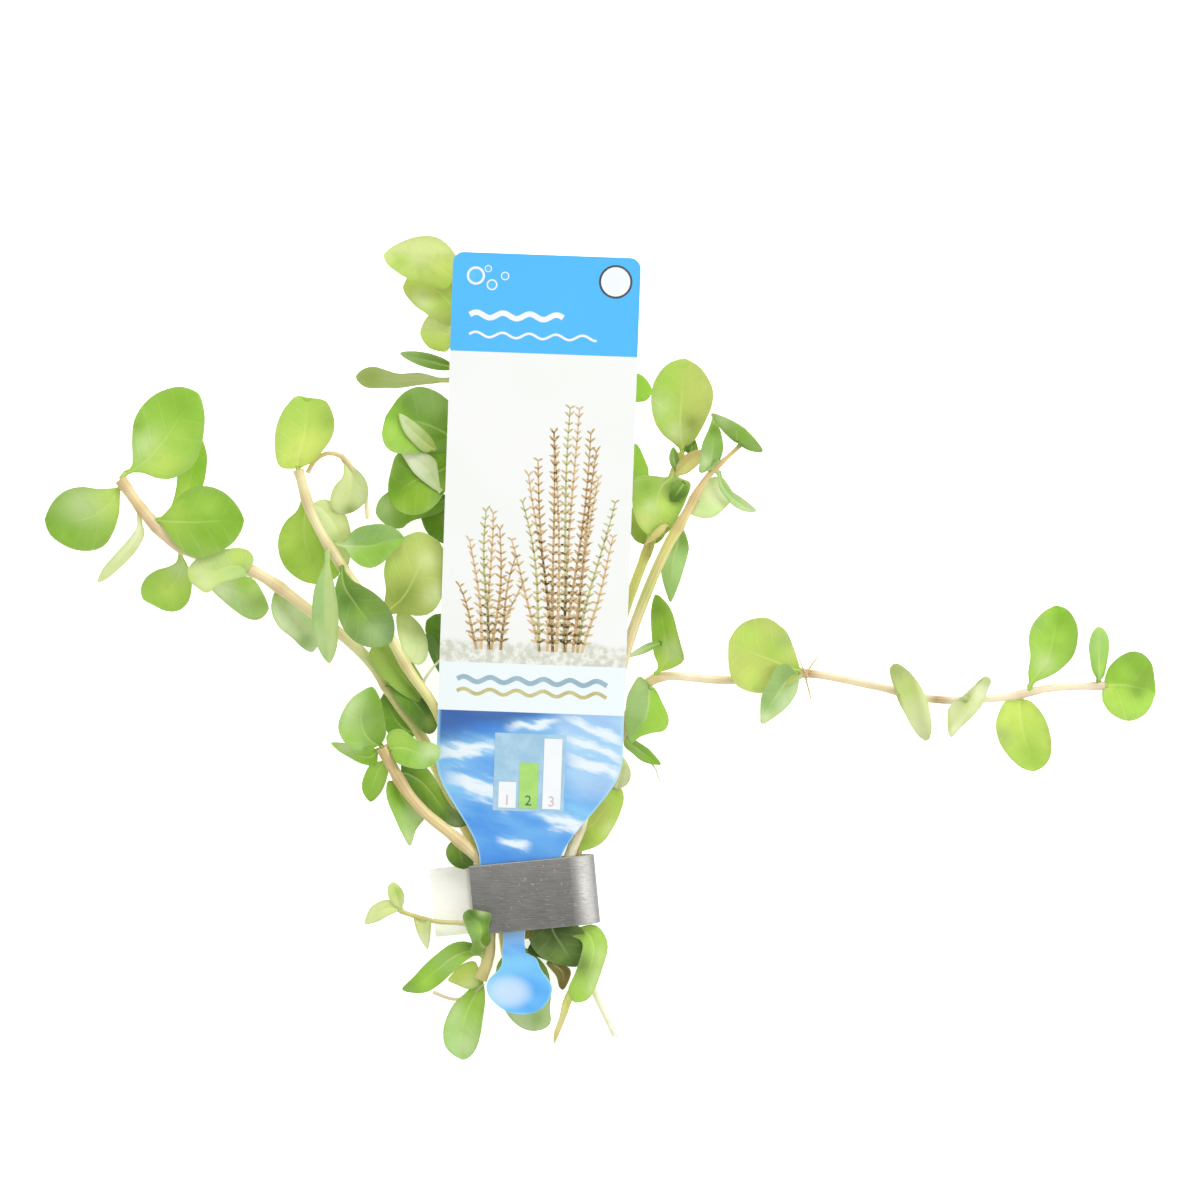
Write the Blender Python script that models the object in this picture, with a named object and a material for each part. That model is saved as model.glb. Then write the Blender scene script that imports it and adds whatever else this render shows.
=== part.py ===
"""A cut bunch of round-leaved rotala, held by a folded strip of soft metal with a stick label in it.

The bunch lies on its back. X runs to the right, Y towards the shoot tips, Z up from the surface.
The origin is the middle of the strip's flat underside. Tables are in millimetres.
"""
import math

import bmesh
import bpy
from mathutils import Matrix, Vector

MM = 0.001

# Metal strip: one band folded flat round the stems, its bend on the right
STRIP_WIDTH = 11.5
STRIP_THICK = 1.0
STRIP_HEIGHT = 8.7
STRIP_LOWER_END = -17.2
STRIP_UPPER_END = -10.4
STRIP_RIGHT_SIDE = 10.4
STRIP_TURN = 5.4  # degrees, seen from above
BEND_STEPS = 10

# Stick label: a card that tapers to a neck with a round paddle at its foot
LABEL_THICK = 0.5
LABEL_TURN = -2.1  # degrees
LABEL_AXIS_X = -1.7
LABEL_TOP = 105.6
LABEL_HALF_WIDTH = 15.5
LABEL_CORNER = 1.8
TAPER_TOP = 22.5
TAPER_FOOT = -2.5
NECK_HALF_WIDTH = 1.85
NECK_OFFSET = -1.0
PADDLE_CENTRE = (-0.4, -14.8)
PADDLE_RADIUS = 5.6
LABEL_LOW = 6.85
LABEL_RISE = 12.5
LABEL_LIFT_FROM = 3.0

# Leaves and stems
LEAF_THICK = 0.5
LEAF_ROWS = 6
LEAF_COLUMNS = 4
GAP = 0.35
SPOON_STALK = 0.12  # share of a spoon-shaped leaf that is narrow
STEM_SIDES = 8
STEM_STEP = 5.5

# Stems: radius at the cut end, in the strip and at the tip, and the centre line from cut to tip
STEMS = {
    "stem_far_left": (0.9, 1.0, 0.85, [
        (-4.6, -10.5, 2.5), (-6.3, 0, 2.4), (-9.5, 7, 2.6), (-14, 16, 3.2), (-18.8, 26, 4.2),
        (-22.5, 31.3, 5), (-28.3, 39.7, 6.6), (-37.8, 47.5, 8.6), (-46.7, 53.6, 9.2),
        (-58.3, 57.4, 9.0), (-64.2, 62.8, 8.6), (-68.6, 68.8, 8.2)]),
    "stem_left": (0.8, 0.9, 0.75, [
        (-4.2, -8.5, 4.9), (-4.6, 0, 4.85), (-6.3, 7, 4.9), (-11, 18, 6.4), (-16.3, 30.5, 8),
        (-20.8, 37.2, 9.6), (-26.2, 46.7, 12), (-32.5, 55.5, 14), (-36.7, 63, 15),
        (-38.9, 70.3, 15.6)]),
    "shoot_arching": (0.4, 0.4, 0.35, [
        (-37.4, 69.8, 14.4), (-36.2, 71.8, 14.8), (-34.2, 73, 15.4), (-31.7, 72.5, 15.6),
        (-29.6, 70, 15.2), (-28, 67, 14.6), (-27.5, 62.2, 14)]),
    "stem_short_left": (0.9, 1.0, 0.9, [
        (-9, -14.2, 4.2), (-7.7, -10, 4.6), (-7.3, 0, 4.85), (-8.8, 5, 5.4), (-10.9, 7.4, 6.3),
        (-14.4, 10.5, 7.8), (-18.3, 13.8, 9.2), (-21.7, 18, 10.6), (-25.2, 24.5, 12)]),
    "stem_behind_label": (0.8, 0.9, 0.7, [
        (-2.9, -8, 2.4), (-3.6, 0, 2.35), (-5.2, 8, 3), (-8, 22, 4.2), (-10.3, 40, 6.4),
        (-11.5, 55, 8.2), (-12, 68, 9.2), (-12.2, 80, 10), (-12.4, 90, 10.6), (-12.6, 101, 11)]),
    "stem_centre": (0.8, 0.9, 0.7, [
        (-0.7, -7.5, 2.4), (-0.9, 0, 2.35), (1, 12, 2.5), (1.8, 30, 3.2), (2.2, 50, 4),
        (2.5, 70, 4.8), (3, 88, 5.4)]),
    "stem_right_inner": (0.8, 0.9, 0.75, [
        (1.7, -7.4, 4.7), (1.2, 0, 4.8), (4.2, 12, 4.8), (9.2, 28, 5.4), (13.4, 42, 6.4),
        (16.4, 51, 7.4), (19.4, 59, 8.6), (21.4, 65, 9.6), (24.4, 73, 10.8)]),
    "stem_right": (0.5, 1.0, 0.85, [
        (13.3, -23.7, 1.2), (10.3, -17, 2.4), (6.4, -8, 4.2), (4.1, 0, 4.85), (8.4, 14, 5.4),
        (12.6, 30, 7.2), (15.8, 42.5, 8.8), (20.8, 55.3, 11.4), (25, 63, 12.8),
        (28.3, 68.8, 13.6), (33.8, 74.2, 14.2)]),
    "stem_trailing": (0.7, 0.8, 0.6, [
        (6, -5.2, 2.3), (6.1, 0, 2.3), (6.8, 6, 2.3), (8.8, 11.5, 2.3), (12.2, 20, 2.6),
        (15.6, 30, 3.1), (18.2, 34.4, 3.4), (22, 36.2, 3.6), (32.5, 35.5, 3.6),
        (44.2, 36.7, 3.4), (55.8, 34.7, 3.2), (66.7, 32.3, 3.4), (77.5, 32.6, 3.8),
        (85.8, 34.2, 4.2), (94.7, 34.6, 4.4)]),
    "shoot_low": (0.4, 0.4, 0.35, [
        (-9.2, -5.8, 4.4), (-12, -4.9, 3.9), (-15.8, -4.7, 3.3), (-19.2, -4, 2.8),
        (-22.4, -2.9, 2.6)]),
}

# Leaves: where the stem carries it, where its tip is, the tip's height over the stem, the width,
# the roll about its own axis, how far the edges cup up, how far the middle arches up, and its form
LEAVES = {
    "stem_far_left": [
        ("leaf_far_left_end", (-69.2, 67.2), (-81.2, 60.2), -8.2, 10.4, -4, 0.9, 1.2, "round"),
        ("leaf_far_left_top", (-68.6, 68.8), (-56.4, 84), 2.5, 13.0, 6, 1.0, 1.2, "round"),
        ("leaf_far_left_back", (-62, 61.6), (-56, 77), -4.5, 7.6, 0, 0.6, 0.6, "spoon"),
        ("leaf_far_left_dark", (-62.6, 61.8), (-48.6, 61.2), 2.8, 11.6, -6, 1.1, 1.0, "round"),
        ("leaf_far_left_edge", (-65.2, 63.4), (-73, 52.2), -5, 6.5, -62, 0.5, 0.8, "long"),
        ("leaf_far_left_small", (-58.6, 57.6), (-65.2, 48.2), -8.6, 7.6, 4, 0.5, 0.2, "round"),
        ("leaf_far_left_pale", (-47.6, 53.4), (-58.2, 53), 0.6, 7.8, 6, 0.5, 1.2, "round"),
        ("leaf_far_left_low", (-54.8, 56), (-44.4, 46.6), -6.6, 7.4, 8, 0.6, -0.8, "round"),
        ("leaf_left_hanging", (-42.4, 51), (-37.4, 40.6), -6.8, 7.0, -14, 0.6, 0.4, "round"),
        ("leaf_left_inner", (-24.8, 34.8), (-17.2, 26.6), 0.8, 6.2, 0, 0.1, 0.1, "round"),
    ],
    "stem_left": [
        ("leaf_left_notched", (-38.9, 70.3), (-38, 83.2), 1.4, 10.2, -4, 0.9, 1.0, "notched"),
        ("leaf_left_bright", (-38, 66.2), (-38.6, 51.6), -7.6, 10.2, 0, 0.2, -0.3, "round"),
        ("leaf_left_pale", (-37.2, 64.4), (-31.4, 54), -4.4, 8, 0, 0.4, -0.3, "round"),
        ("leaf_left_upright", (-33.4, 57.4), (-34, 38.6), 2, 5.8, 38, 0.6, 1.4, "long"),
        ("leaf_left_two_tone", (-33.6, 57.8), (-22.4, 59), -0.6, 7.2, 14, 0.6, 0.8, "spoon"),
        ("leaf_left_dark", (-31.8, 54.4), (-24, 41.8), 3.4, 9, -10, 1.0, 0.9, "round"),
        ("leaf_left_olive", (-25.4, 45.6), (-17, 60), -0.8, 9.4, -8, 0.9, 0.6, "spoon"),
        ("leaf_left_behind", (-21.6, 38.4), (-19.8, 47.6), -4.8, 6.4, -8, 0.6, 0.4, "round"),
    ],
    "shoot_arching": [
        ("leaf_arching", (-31.4, 72.4), (-29.8, 61.6), -3, 6.2, 10, 0.6, 0.6, "spoon"),
    ],
    "stem_short_left": [
        ("leaf_short_top", (-25.2, 24.5), (-30.8, 34.2), 2.4, 8.6, 10, 0.9, 0.9, "round"),
        ("leaf_short_left", (-24.9, 23.9), (-33.7, 24.2), -2.4, 5.0, -28, 0.6, 0.4, "long"),
        ("leaf_short_lower", (-24.4, 23), (-27.9, 15.4), -5, 5.2, -10, 0.5, 0.4, "long"),
        ("leaf_short_down", (-22.2, 18.8), (-21.4, 8), -5, 5.8, -12, 0.7, 0.2, "long"),
        ("leaf_short_right", (-24.8, 23.8), (-17.6, 28.2), 0.6, 6.2, 10, 0.7, 0.6, "round"),
        ("leaf_short_folded", (-22.4, 19.4), (-10.6, 13.8), -6.2, 5.4, -10, 0.2, 0.2, "round"),
        ("leaf_by_strip", (-12.4, 8.8), (-12.8, 4.2), -3.8, 4.8, 0, 0.4, 0.2, "round"),
        ("leaf_foot_curled", (-7.6, -9.4), (-11.6, -3.2), 8.4, 4.2, 6, 0.3, 1.5, "round"),
        ("leaf_foot_left", (-7.8, -10.4), (-21.7, -15.8), 0.6, 5.2, -10, 0.6, 0.8, "spoon"),
        ("leaf_foot_pale", (-8.4, -12.6), (-14.8, -15), -2.6, 4.2, 0, 0.4, 0.2, "round"),
        ("leaf_foot_spoon", (-9, -14.2), (-12.7, -27.2), -3.4, 6.8, 6, 0.8, 0.6, "spoon"),
    ],
    "stem_behind_label": [
        ("leaf_crown_pale", (-12.6, 101), (-25.2, 106.6), 2.4, 8.6, -8, 0.8, 0.9, "round"),
        ("leaf_crown_low", (-12.5, 96), (-21.2, 101.4), -2.4, 8.2, 6, 0.7, 0.6, "round"),
        ("leaf_edge_small", (-12.5, 92.4), (-19.4, 93.8), -3.6, 5.8, 0, 0.4, 0.4, "round"),
        ("leaf_edge_twisted", (-12.4, 87), (-22.2, 89.6), 2.4, 2.6, 20, 0.2, 0.3, "long"),
        ("leaf_edge_narrow", (-12.3, 85.2), (-29.5, 86), -0.6, 4.6, -46, 0.5, 0.7, "long"),
        ("leaf_edge_dark", (-12.1, 74.6), (-24.6, 81.4), 2.8, 10.4, -6, 1.1, 1.0, "round"),
        ("leaf_edge_folded", (-12, 71), (-23.4, 64.8), 1.4, 8.6, 10, 1.1, 0.8, "round"),
        ("leaf_edge_low", (-11.9, 66), (-25.6, 61.2), -4.2, 6.0, 14, 0.6, 0.4, "long"),
        ("leaf_edge_lower", (-11.5, 56.6), (-18.8, 65), -1.6, 6.0, -6, 0.6, 0.4, "round"),
        ("leaf_edge_last", (-10.4, 41), (-18, 45.4), -3.4, 6.0, 8, 0.6, 0.4, "round"),
        ("leaf_foot_under_paddle", (-2.9, -8), (-1.4, -22.8), -1.2, 7.4, 4, 0.3, 0.2, "spoon"),
    ],
    "stem_centre": [
        ("leaf_hidden_top", (2.8, 82), (19.2, 84.8), -1.6, 9.0, 4, 0.5, 0.6, "round"),
        ("leaf_hidden_left", (2.4, 68), (-7.6, 75), -4.6, 9.0, -4, 0.2, 0.3, "round"),
        ("leaf_hidden_right", (2.5, 66), (18.4, 72.4), -2.2, 9.0, 8, 0.7, 0.7, "round"),
        ("leaf_hidden_low", (2.0, 44), (-7, 51), -1.8, 8.6, 6, 0.7, 0.5, "round"),
        ("leaf_foot_dark", (-0.7, -7.5), (7.2, -10.8), -0.7, 7.4, 0, 0.1, 0.1, "round"),
    ],
    "stem_right_inner": [
        ("leaf_right_top", (24.4, 73), (24.7, 88.5), 3.4, 10.2, 4, 0.9, 1.1, "round"),
        ("leaf_right_bright", (23, 69.6), (17.8, 60.2), 1.2, 8.6, -4, 0.7, 0.5, "round"),
        ("leaf_right_olive", (18.6, 57), (19, 66), -3, 6.6, 0, 0.5, -0.4, "round"),
    ],
    "stem_right": [
        ("leaf_right_tip", (33.8, 74.2), (36, 78.2), 6, 10.2, 0, 0.6, 0.3, "long"),
        ("leaf_right_upright", (30.4, 71.2), (28.6, 79.4), 2, 5.4, -30, 0.5, 0.4, "long"),
        ("leaf_right_pale", (26.6, 65.6), (33.4, 65.6), -3.6, 6.8, 0, 0.6, 0.3, "round"),
        ("leaf_right_point", (29.8, 70.4), (37.2, 63.8), -3.4, 3.0, -14, 0.3, 0.6, "long"),
        ("leaf_right_hanging", (24, 61), (23.8, 48.4), -7.4, 5.4, -30, 0.3, 0.1, "long"),
        ("leaf_low_bright", (7.4, 10.6), (13.9, 17.6), -1.6, 6.4, 0, 0.7, 0.2, "spoon"),
        ("leaf_foot_slim", (8, -11.6), (3.6, -24.9), -2.2, 2.4, 10, 0.2, 0.2, "long"),
        ("leaf_foot_bright", (5.6, -6.4), (7.4, -18.4), 0.8, 7.0, -6, 0.4, 0.3, "round"),
    ],
    "stem_trailing": [
        ("leaf_bend_up", (20.4, 35.6), (21.4, 49.4), 4.4, 6.6, 30, 0.7, 0.7, "long"),
        ("leaf_bend_down", (18.6, 34.8), (19.2, 24.6), 1.8, 7, -14, 0.7, 0.6, "round"),
        ("leaf_bend_point", (14.4, 26.6), (20.6, 21.8), -1, 2.2, 0, 0.2, 0.2, "long"),
        ("leaf_trail_round", (44, 36.6), (32.2, 41.6), 1.8, 11.8, 10, 0.9, 1.0, "round"),
        ("leaf_trail_front", (44, 36.6), (37.8, 28.4), 4.8, 6.8, -22, 0.8, 0.8, "long"),
        ("leaf_trail_edge", (60.8, 33.3), (64, 31.4), 8.0, 12, 0, 0.8, 0.4, "round"),
        ("leaf_trail_twisted", (72, 32.4), (73.4, 31.2), 7.0, 9.6, 0, 0.5, 0.3, "round"),
        ("leaf_trail_up", (82.4, 33.6), (87.8, 47), 1.8, 8.2, 6, 0.8, 1.0, "round"),
        ("leaf_trail_down", (80.6, 33.2), (81.9, 20.8), -3.7, 9.0, -6, 0.8, 0.8, "round"),
        ("leaf_trail_slim", (93.8, 34.6), (92.4, 44.4), 2.6, 6.0, -60, 0.5, 0.6, "long"),
        ("leaf_trail_end", (94.7, 34.6), (103, 34.2), 1.2, 11.0, 0, 1.2, 0.3, "round"),
    ],
    "shoot_low": [
        ("leaf_low_tip", (-22.2, -3), (-23.6, 1.6), 1.4, 2.4, 10, 0.2, 0.3, "round"),
        ("leaf_low_side", (-22, -3), (-28.2, -3.4), -0.6, 3.6, -10, 0.3, 0.4, "round"),
        ("leaf_low_root", (-18.6, -4.1), (-18.8, -9.2), -0.4, 2.8, 20, 0.2, 0.3, "round"),
    ],
}

# The smallest leaves are one solid with the stem they grow from
ONE_WITH_STEM = {
    "leaf_far_left_edge", "leaf_short_left", "leaf_short_lower", "leaf_by_strip", "leaf_edge_small",
    "leaf_edge_twisted", "leaf_edge_low", "leaf_edge_lower", "leaf_edge_last", "leaf_right_olive",
    "leaf_right_tip", "leaf_right_upright", "leaf_right_point", "leaf_foot_curled",
    "leaf_foot_pale", "leaf_foot_slim", "leaf_bend_point", "leaf_trail_slim",
    "leaf_trail_twisted", "leaf_arching", "leaf_low_tip", "leaf_low_side", "leaf_low_root",
}

COLOURS = {
    "stem": (0.72, 0.60, 0.36),
    "leaf": (0.26, 0.46, 0.07),
    "strip": (0.20, 0.20, 0.19),
    "label": (0.86, 0.90, 0.92),
}


def material(name, colour, roughness, metallic=0.0):
    """A plain Principled finish."""
    made = bpy.data.materials.new(name)
    made.use_nodes = True
    shader = made.node_tree.nodes["Principled BSDF"]
    shader.inputs["Base Color"].default_value = (*colour, 1)
    shader.inputs["Roughness"].default_value = roughness
    shader.inputs["Metallic"].default_value = metallic
    return made


def add_object(name, points, faces, finish):
    """An object from points in millimetres, with its faces turned outwards."""
    mesh = bpy.data.meshes.new(name)
    mesh.from_pydata([Vector(p) * MM for p in points], [], faces)
    shape = bmesh.new()
    shape.from_mesh(mesh)
    bmesh.ops.recalc_face_normals(shape, faces=shape.faces)
    bmesh.ops.triangulate(shape, faces=shape.faces)
    shape.to_mesh(mesh)
    shape.free()
    mesh.shade_smooth()
    mesh.set_sharp_from_angle(angle=math.radians(40))
    made = bpy.data.objects.new(name, mesh)
    bpy.context.collection.objects.link(made)
    made.data.materials.append(finish)
    return made


def smooth_line(points, step):
    """Points about a step apart on a smooth curve through the given points."""
    points = [Vector(p) for p in points]
    ends = [points[0] * 2 - points[1], *points, points[-1] * 2 - points[-2]]
    line = []
    for a, b, c, d in zip(ends, ends[1:], ends[2:], ends[3:]):
        count = max(1, round((c - b).length / step))
        for i in range(count):
            t = i / count
            line.append(0.5 * ((2 * b) + (c - a) * t + (2 * a - 5 * b + 4 * c - d) * t ** 2
                               + (3 * b - a - 3 * c + d) * t ** 3))
    return [*line, points[-1]]


def nearest(line, place):
    """The line's point closest in plan to a place, and its index."""
    spots = []
    for i, (a, b) in enumerate(zip(line, line[1:])):
        along = (b - a).xy
        t = max(0, min(1, (Vector(place) - a.xy).dot(along) / along.length_squared))
        spot = a.lerp(b, t)
        spots.append(((spot.xy - Vector(place)).length, i, spot))
    return min(spots)[1:]


def tube(line, foot, root, tip):
    """Points and faces of a closed round tube along a line."""
    points, faces = [], []
    side = Vector((0, 0, 1))
    for i, centre in enumerate(line):
        ahead = (line[min(i + 1, len(line) - 1)] - line[max(i - 1, 0)]).normalized()
        side = (side - ahead * side.dot(ahead)).normalized()
        other = ahead.cross(side)
        radius = root + (tip - root) * i / (len(line) - 1)
        if centre.y < 0 and root > foot:
            radius = root + (foot - root) * min(1, centre.y / line[0].y)
        for k in range(STEM_SIDES):
            turn = math.tau * k / STEM_SIDES
            points.append(centre + (side * math.cos(turn) + other * math.sin(turn)) * radius)
    for i in range(len(line) - 1):
        for k in range(STEM_SIDES):
            n = (k + 1) % STEM_SIDES
            low, high = i * STEM_SIDES, (i + 1) * STEM_SIDES
            faces.append((low + k, low + n, high + n, high + k))
    faces.append(tuple(range(STEM_SIDES))[::-1])
    last = (len(line) - 1) * STEM_SIDES
    faces.append(tuple(range(last, last + STEM_SIDES)))
    return points, faces


def half_width(form, t):
    """How wide a leaf is at t along it, as a share of half its width."""
    oval = math.sqrt(max(0, 1 - (2 * t - 1) ** 2))
    if form == "long":
        return oval ** 1.3 * (1 - 0.22 * (t - 0.4))
    if form == "notched":
        return oval * (1 + 0.12 * (t - 0.5))
    if form == "spoon":
        blade = (t - SPOON_STALK) / (1 - SPOON_STALK)
        return max(0.12, math.sqrt(max(0, 1 - (2 * blade - 1) ** 2)) if blade > 0 else 0)
    return oval * (1 - 0.12 * (t - 0.5))


def leaf(base, tip, width, roll, cup, arch, form):
    """Points and faces of a thin closed leaf, thickest along its middle."""
    axis = tip - base
    side = Vector((0, 0, 1)).cross(axis)
    side = side.normalized() if side.length > 1e-6 else Vector((1, 0, 0))
    side = Matrix.Rotation(math.radians(roll), 3, axis.normalized()) @ side
    up = axis.cross(side).normalized()
    up = up if up.z > 0 else -up
    points, faces = [base, tip], []

    def place(t, s, face):
        wide = half_width(form, t)
        lift = arch * 4 * t * (1 - t) + cup * s * s * wide
        skin = face * LEAF_THICK / 2 * (1 - s * s)
        return base + axis * t + side * (s * width / 2 * wide) + up * (lift + skin)

    rows = []
    for i in range(1, LEAF_ROWS):
        t = (1 - math.cos(math.pi * i / LEAF_ROWS)) / 2
        row = {}
        for k in range(LEAF_COLUMNS + 1):
            s = 2 * k / LEAF_COLUMNS - 1
            for face in (1, -1):
                if face < 0 and abs(s) == 1:
                    row[k, face] = row[k, 1]
                    continue
                row[k, face] = len(points)
                points.append(place(t, s, face))
        rows.append(row)
    for face in (1, -1):
        for k in range(LEAF_COLUMNS):
            first, last = rows[0], rows[-1]
            faces.append((0, first[k, face], first[k + 1, face]))
            faces.append((1, last[k + 1, face], last[k, face]))
            for low, high in zip(rows, rows[1:]):
                faces.append((low[k, face], low[k + 1, face], high[k + 1, face], high[k, face]))
    return points, faces


def leaf_on(line, radius, entry, rooted):
    """A leaf of the table on its stem: a gap outside the stem's skin, or rooted in it."""
    _, place, goal, rise, width, roll, cup, arch, form = entry
    i, spot = nearest(line, place)
    tip = Vector((*goal, spot.z + rise))
    ahead = (line[i + 1] - line[i]).normalized()
    away = (tip - spot).normalized()
    at_end = i == len(line) - 2 and (spot - line[-1]).length < 0.1
    if rooted:
        base = spot
    elif at_end and away.dot(ahead) > 0.2:
        base = spot + away * (GAP / away.dot(ahead) + 0.1)
    else:
        lean = away + Vector((0, 0, 0.6 if rise > 0 else -0.6))
        outward = (lean - ahead * lean.dot(ahead)).normalized()
        base = spot + outward * (radius + GAP)
    return leaf(base, tip, width, roll, cup, arch, form)


def join(target, piece):
    """Melts one solid into another."""
    union = target.modifiers.new("union", "BOOLEAN")
    union.operation = "UNION"
    union.solver = "EXACT"
    union.object = piece
    piece.hide_render = True
    piece.display_type = "WIRE"


def shoots():
    """Every stem with its leaves."""
    stem_finish = material("stem", COLOURS["stem"], 0.5)
    leaf_finish = material("leaf", COLOURS["leaf"], 0.45)
    for stem_name, (foot, root, tip, points) in STEMS.items():
        line = smooth_line(points, STEM_STEP)
        stem = add_object(stem_name, *tube(line, foot, root, tip), stem_finish)
        for entry in LEAVES[stem_name]:
            rooted = entry[0] in ONE_WITH_STEM
            blade = add_object(entry[0], *leaf_on(line, root, entry, rooted), leaf_finish)
            if rooted:
                join(stem, blade)


def strip():
    """The metal strip: a flat lower leg, a round bend and an upper leg."""
    radius = (STRIP_HEIGHT - STRIP_THICK) / 2
    centre_u, centre_z = STRIP_RIGHT_SIDE - STRIP_HEIGHT / 2, STRIP_HEIGHT / 2
    line = [(STRIP_LOWER_END, STRIP_THICK / 2, -math.pi / 2)]
    for i in range(BEND_STEPS + 1):
        turn = math.pi * (i / BEND_STEPS - 0.5)
        line.append((centre_u + radius * math.cos(turn), centre_z + radius * math.sin(turn), turn))
    line.append((STRIP_UPPER_END, STRIP_HEIGHT - STRIP_THICK / 2, math.pi / 2))
    points, faces = [], []
    for u, z, turn in line:
        out_u, out_z = math.cos(turn) * STRIP_THICK / 2, math.sin(turn) * STRIP_THICK / 2
        for v in (-STRIP_WIDTH / 2, STRIP_WIDTH / 2):
            points.append((u + out_u, v, z + out_z))
            points.append((u - out_u, v, z - out_z))
    faces = ring_faces(len(line), ((0, 1), (1, 3), (3, 2), (2, 0)), (0, 1, 3, 2))
    turned = Matrix.Rotation(math.radians(STRIP_TURN), 3, "Z")
    add_object("metal_strip", [turned @ Vector(p) for p in points], faces,
               material("strip", COLOURS["strip"], 0.35, 1.0))


def ring_faces(rings, sides, end):
    """Faces of a closed bar whose rings have four points each."""
    faces = []
    for i in range(rings - 1):
        a, b = 4 * i, 4 * i + 4
        for first, second in sides:
            faces.append((a + first, a + second, b + second, b + first))
    last = 4 * (rings - 1)
    return [*faces, end, tuple(last + k for k in end[::-1])]


def label_height(y):
    """How high the label's underside is: level in the strip, then rising towards its top."""
    share = max(0, y - LABEL_LIFT_FROM) / (LABEL_TOP - LABEL_LIFT_FROM)
    return LABEL_LOW + LABEL_RISE * share ** 1.25


def label_rows():
    """The label's outline from foot to top: place along it, left edge and right edge."""
    rows = []
    x, y = PADDLE_CENTRE
    neck_turn = math.asin(NECK_HALF_WIDTH / PADDLE_RADIUS)
    for i in range(1, 8):
        turn = math.pi - (math.pi - neck_turn) * i / 7
        reach = PADDLE_RADIUS * math.sin(turn)
        rows.append((y + PADDLE_RADIUS * math.cos(turn), x - reach, x + reach))
    rows.append((-7.5, NECK_OFFSET - NECK_HALF_WIDTH, NECK_OFFSET + NECK_HALF_WIDTH))
    for i in range(7):
        share = i / 6
        place = TAPER_FOOT + (TAPER_TOP - TAPER_FOOT) * share
        half = NECK_HALF_WIDTH + (LABEL_HALF_WIDTH - NECK_HALF_WIDTH) * share ** 0.85
        middle = NECK_OFFSET * (1 - share)
        rows.append((place, middle - half, middle + half))
    for i in range(1, 9):
        place = TAPER_TOP + (LABEL_TOP - LABEL_CORNER - TAPER_TOP) * i / 8
        rows.append((place, -LABEL_HALF_WIDTH, LABEL_HALF_WIDTH))
    for i in range(1, 4):
        turn = math.pi / 2 * i / 3
        half = LABEL_HALF_WIDTH - LABEL_CORNER * (1 - math.cos(turn))
        rows.append((LABEL_TOP - LABEL_CORNER * (1 - math.sin(turn)), -half, half))
    return rows


def label():
    """The stick label, from its round paddle to the top of its card."""
    points = []
    for y, left, right in label_rows():
        low = label_height(y)
        for x in (left, right):
            points.append((x, y, low))
            points.append((x, y, low + LABEL_THICK))
    faces = ring_faces(len(points) // 4, ((0, 2), (2, 3), (3, 1), (1, 0)), (0, 1, 3, 2))
    turned = Matrix.Rotation(math.radians(LABEL_TURN), 3, "Z")
    points = [turned @ Vector(p) + Vector((LABEL_AXIS_X, 0, 0)) for p in points]
    add_object("label", points, faces, material("label", COLOURS["label"], 0.3))


for old in list(bpy.data.objects):
    bpy.data.objects.remove(old)
strip()
label()
shoots()
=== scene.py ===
"""The looks of a cut bunch of round-leaved rotala, tied by a metal strip that also holds a stick label.

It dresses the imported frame. X runs to the right, Y towards the shoot tips, Z up from the surface.
Tables and shapes are in millimetres, and only the finished points are turned into metres.
"""
import math
import random

import bmesh
import bpy
from mathutils import Matrix, Vector, noise


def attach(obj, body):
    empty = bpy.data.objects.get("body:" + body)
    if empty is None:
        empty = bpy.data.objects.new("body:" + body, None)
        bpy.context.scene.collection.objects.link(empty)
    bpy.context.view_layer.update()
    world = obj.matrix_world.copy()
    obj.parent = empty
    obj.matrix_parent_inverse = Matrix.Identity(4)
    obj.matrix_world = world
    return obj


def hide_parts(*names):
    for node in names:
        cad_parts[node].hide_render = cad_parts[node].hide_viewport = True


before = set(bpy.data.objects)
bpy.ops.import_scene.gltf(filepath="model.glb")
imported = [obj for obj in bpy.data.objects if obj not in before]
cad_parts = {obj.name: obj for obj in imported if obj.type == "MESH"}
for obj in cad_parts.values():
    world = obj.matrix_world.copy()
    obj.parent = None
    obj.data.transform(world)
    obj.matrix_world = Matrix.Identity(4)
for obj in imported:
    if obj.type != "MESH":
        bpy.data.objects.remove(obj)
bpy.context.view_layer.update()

MM = 0.001

# Metal strip, as in the frame
STRIP_WIDTH = 11.5
STRIP_THICK = 1.0
STRIP_HEIGHT = 8.7
STRIP_LOWER_END = -17.2
STRIP_UPPER_END = -10.4
STRIP_RIGHT_SIDE = 10.4
STRIP_TURN = 5.4
STRIP_EDGE_ROUND = 0.22
# Width of the painted highlight along the strip's long edges, and where on the round turn the painted
# glint is brightest
RIM_HIGHLIGHT = 0.5
BEND_GLINT = 0.72

# Stick label, as in the frame
LABEL_THICK = 0.5
LABEL_TURN = -2.1
LABEL_AXIS_X = -1.7
LABEL_TOP = 105.6
LABEL_HALF_WIDTH = 15.5
LABEL_CORNER = 1.8
TAPER_TOP = 22.5
TAPER_KNEE = 4.5
TAPER_FOOT = -2.5
KNEE_HALF_WIDTH = 6.6
NECK_HALF_WIDTH = 1.85
NECK_OFFSET = -1.5
PADDLE_SHAPE = ((-19.9, -0.2, 0.3), (-19.65, -1.8, 1.9), (-19.15, -2.9, 3.0), (-18.35, -4.1, 4.0),
                (-17.35, -5.1, 4.75), (-16.35, -5.65, 5.1), (-15.35, -5.8, 5.2), (-14.35, -5.5, 4.85),
                (-13.45, -4.7, 4.2), (-12.65, -3.9, 3.5), (-11.8, -3.45, 3.0), (-11.0, -3.35, 2.7),
                (-10.4, -3.35, 2.2), (-10.0, -3.35, 1.4), (-9.6, -3.35, 0.6))
LABEL_LOW = 6.85
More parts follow.
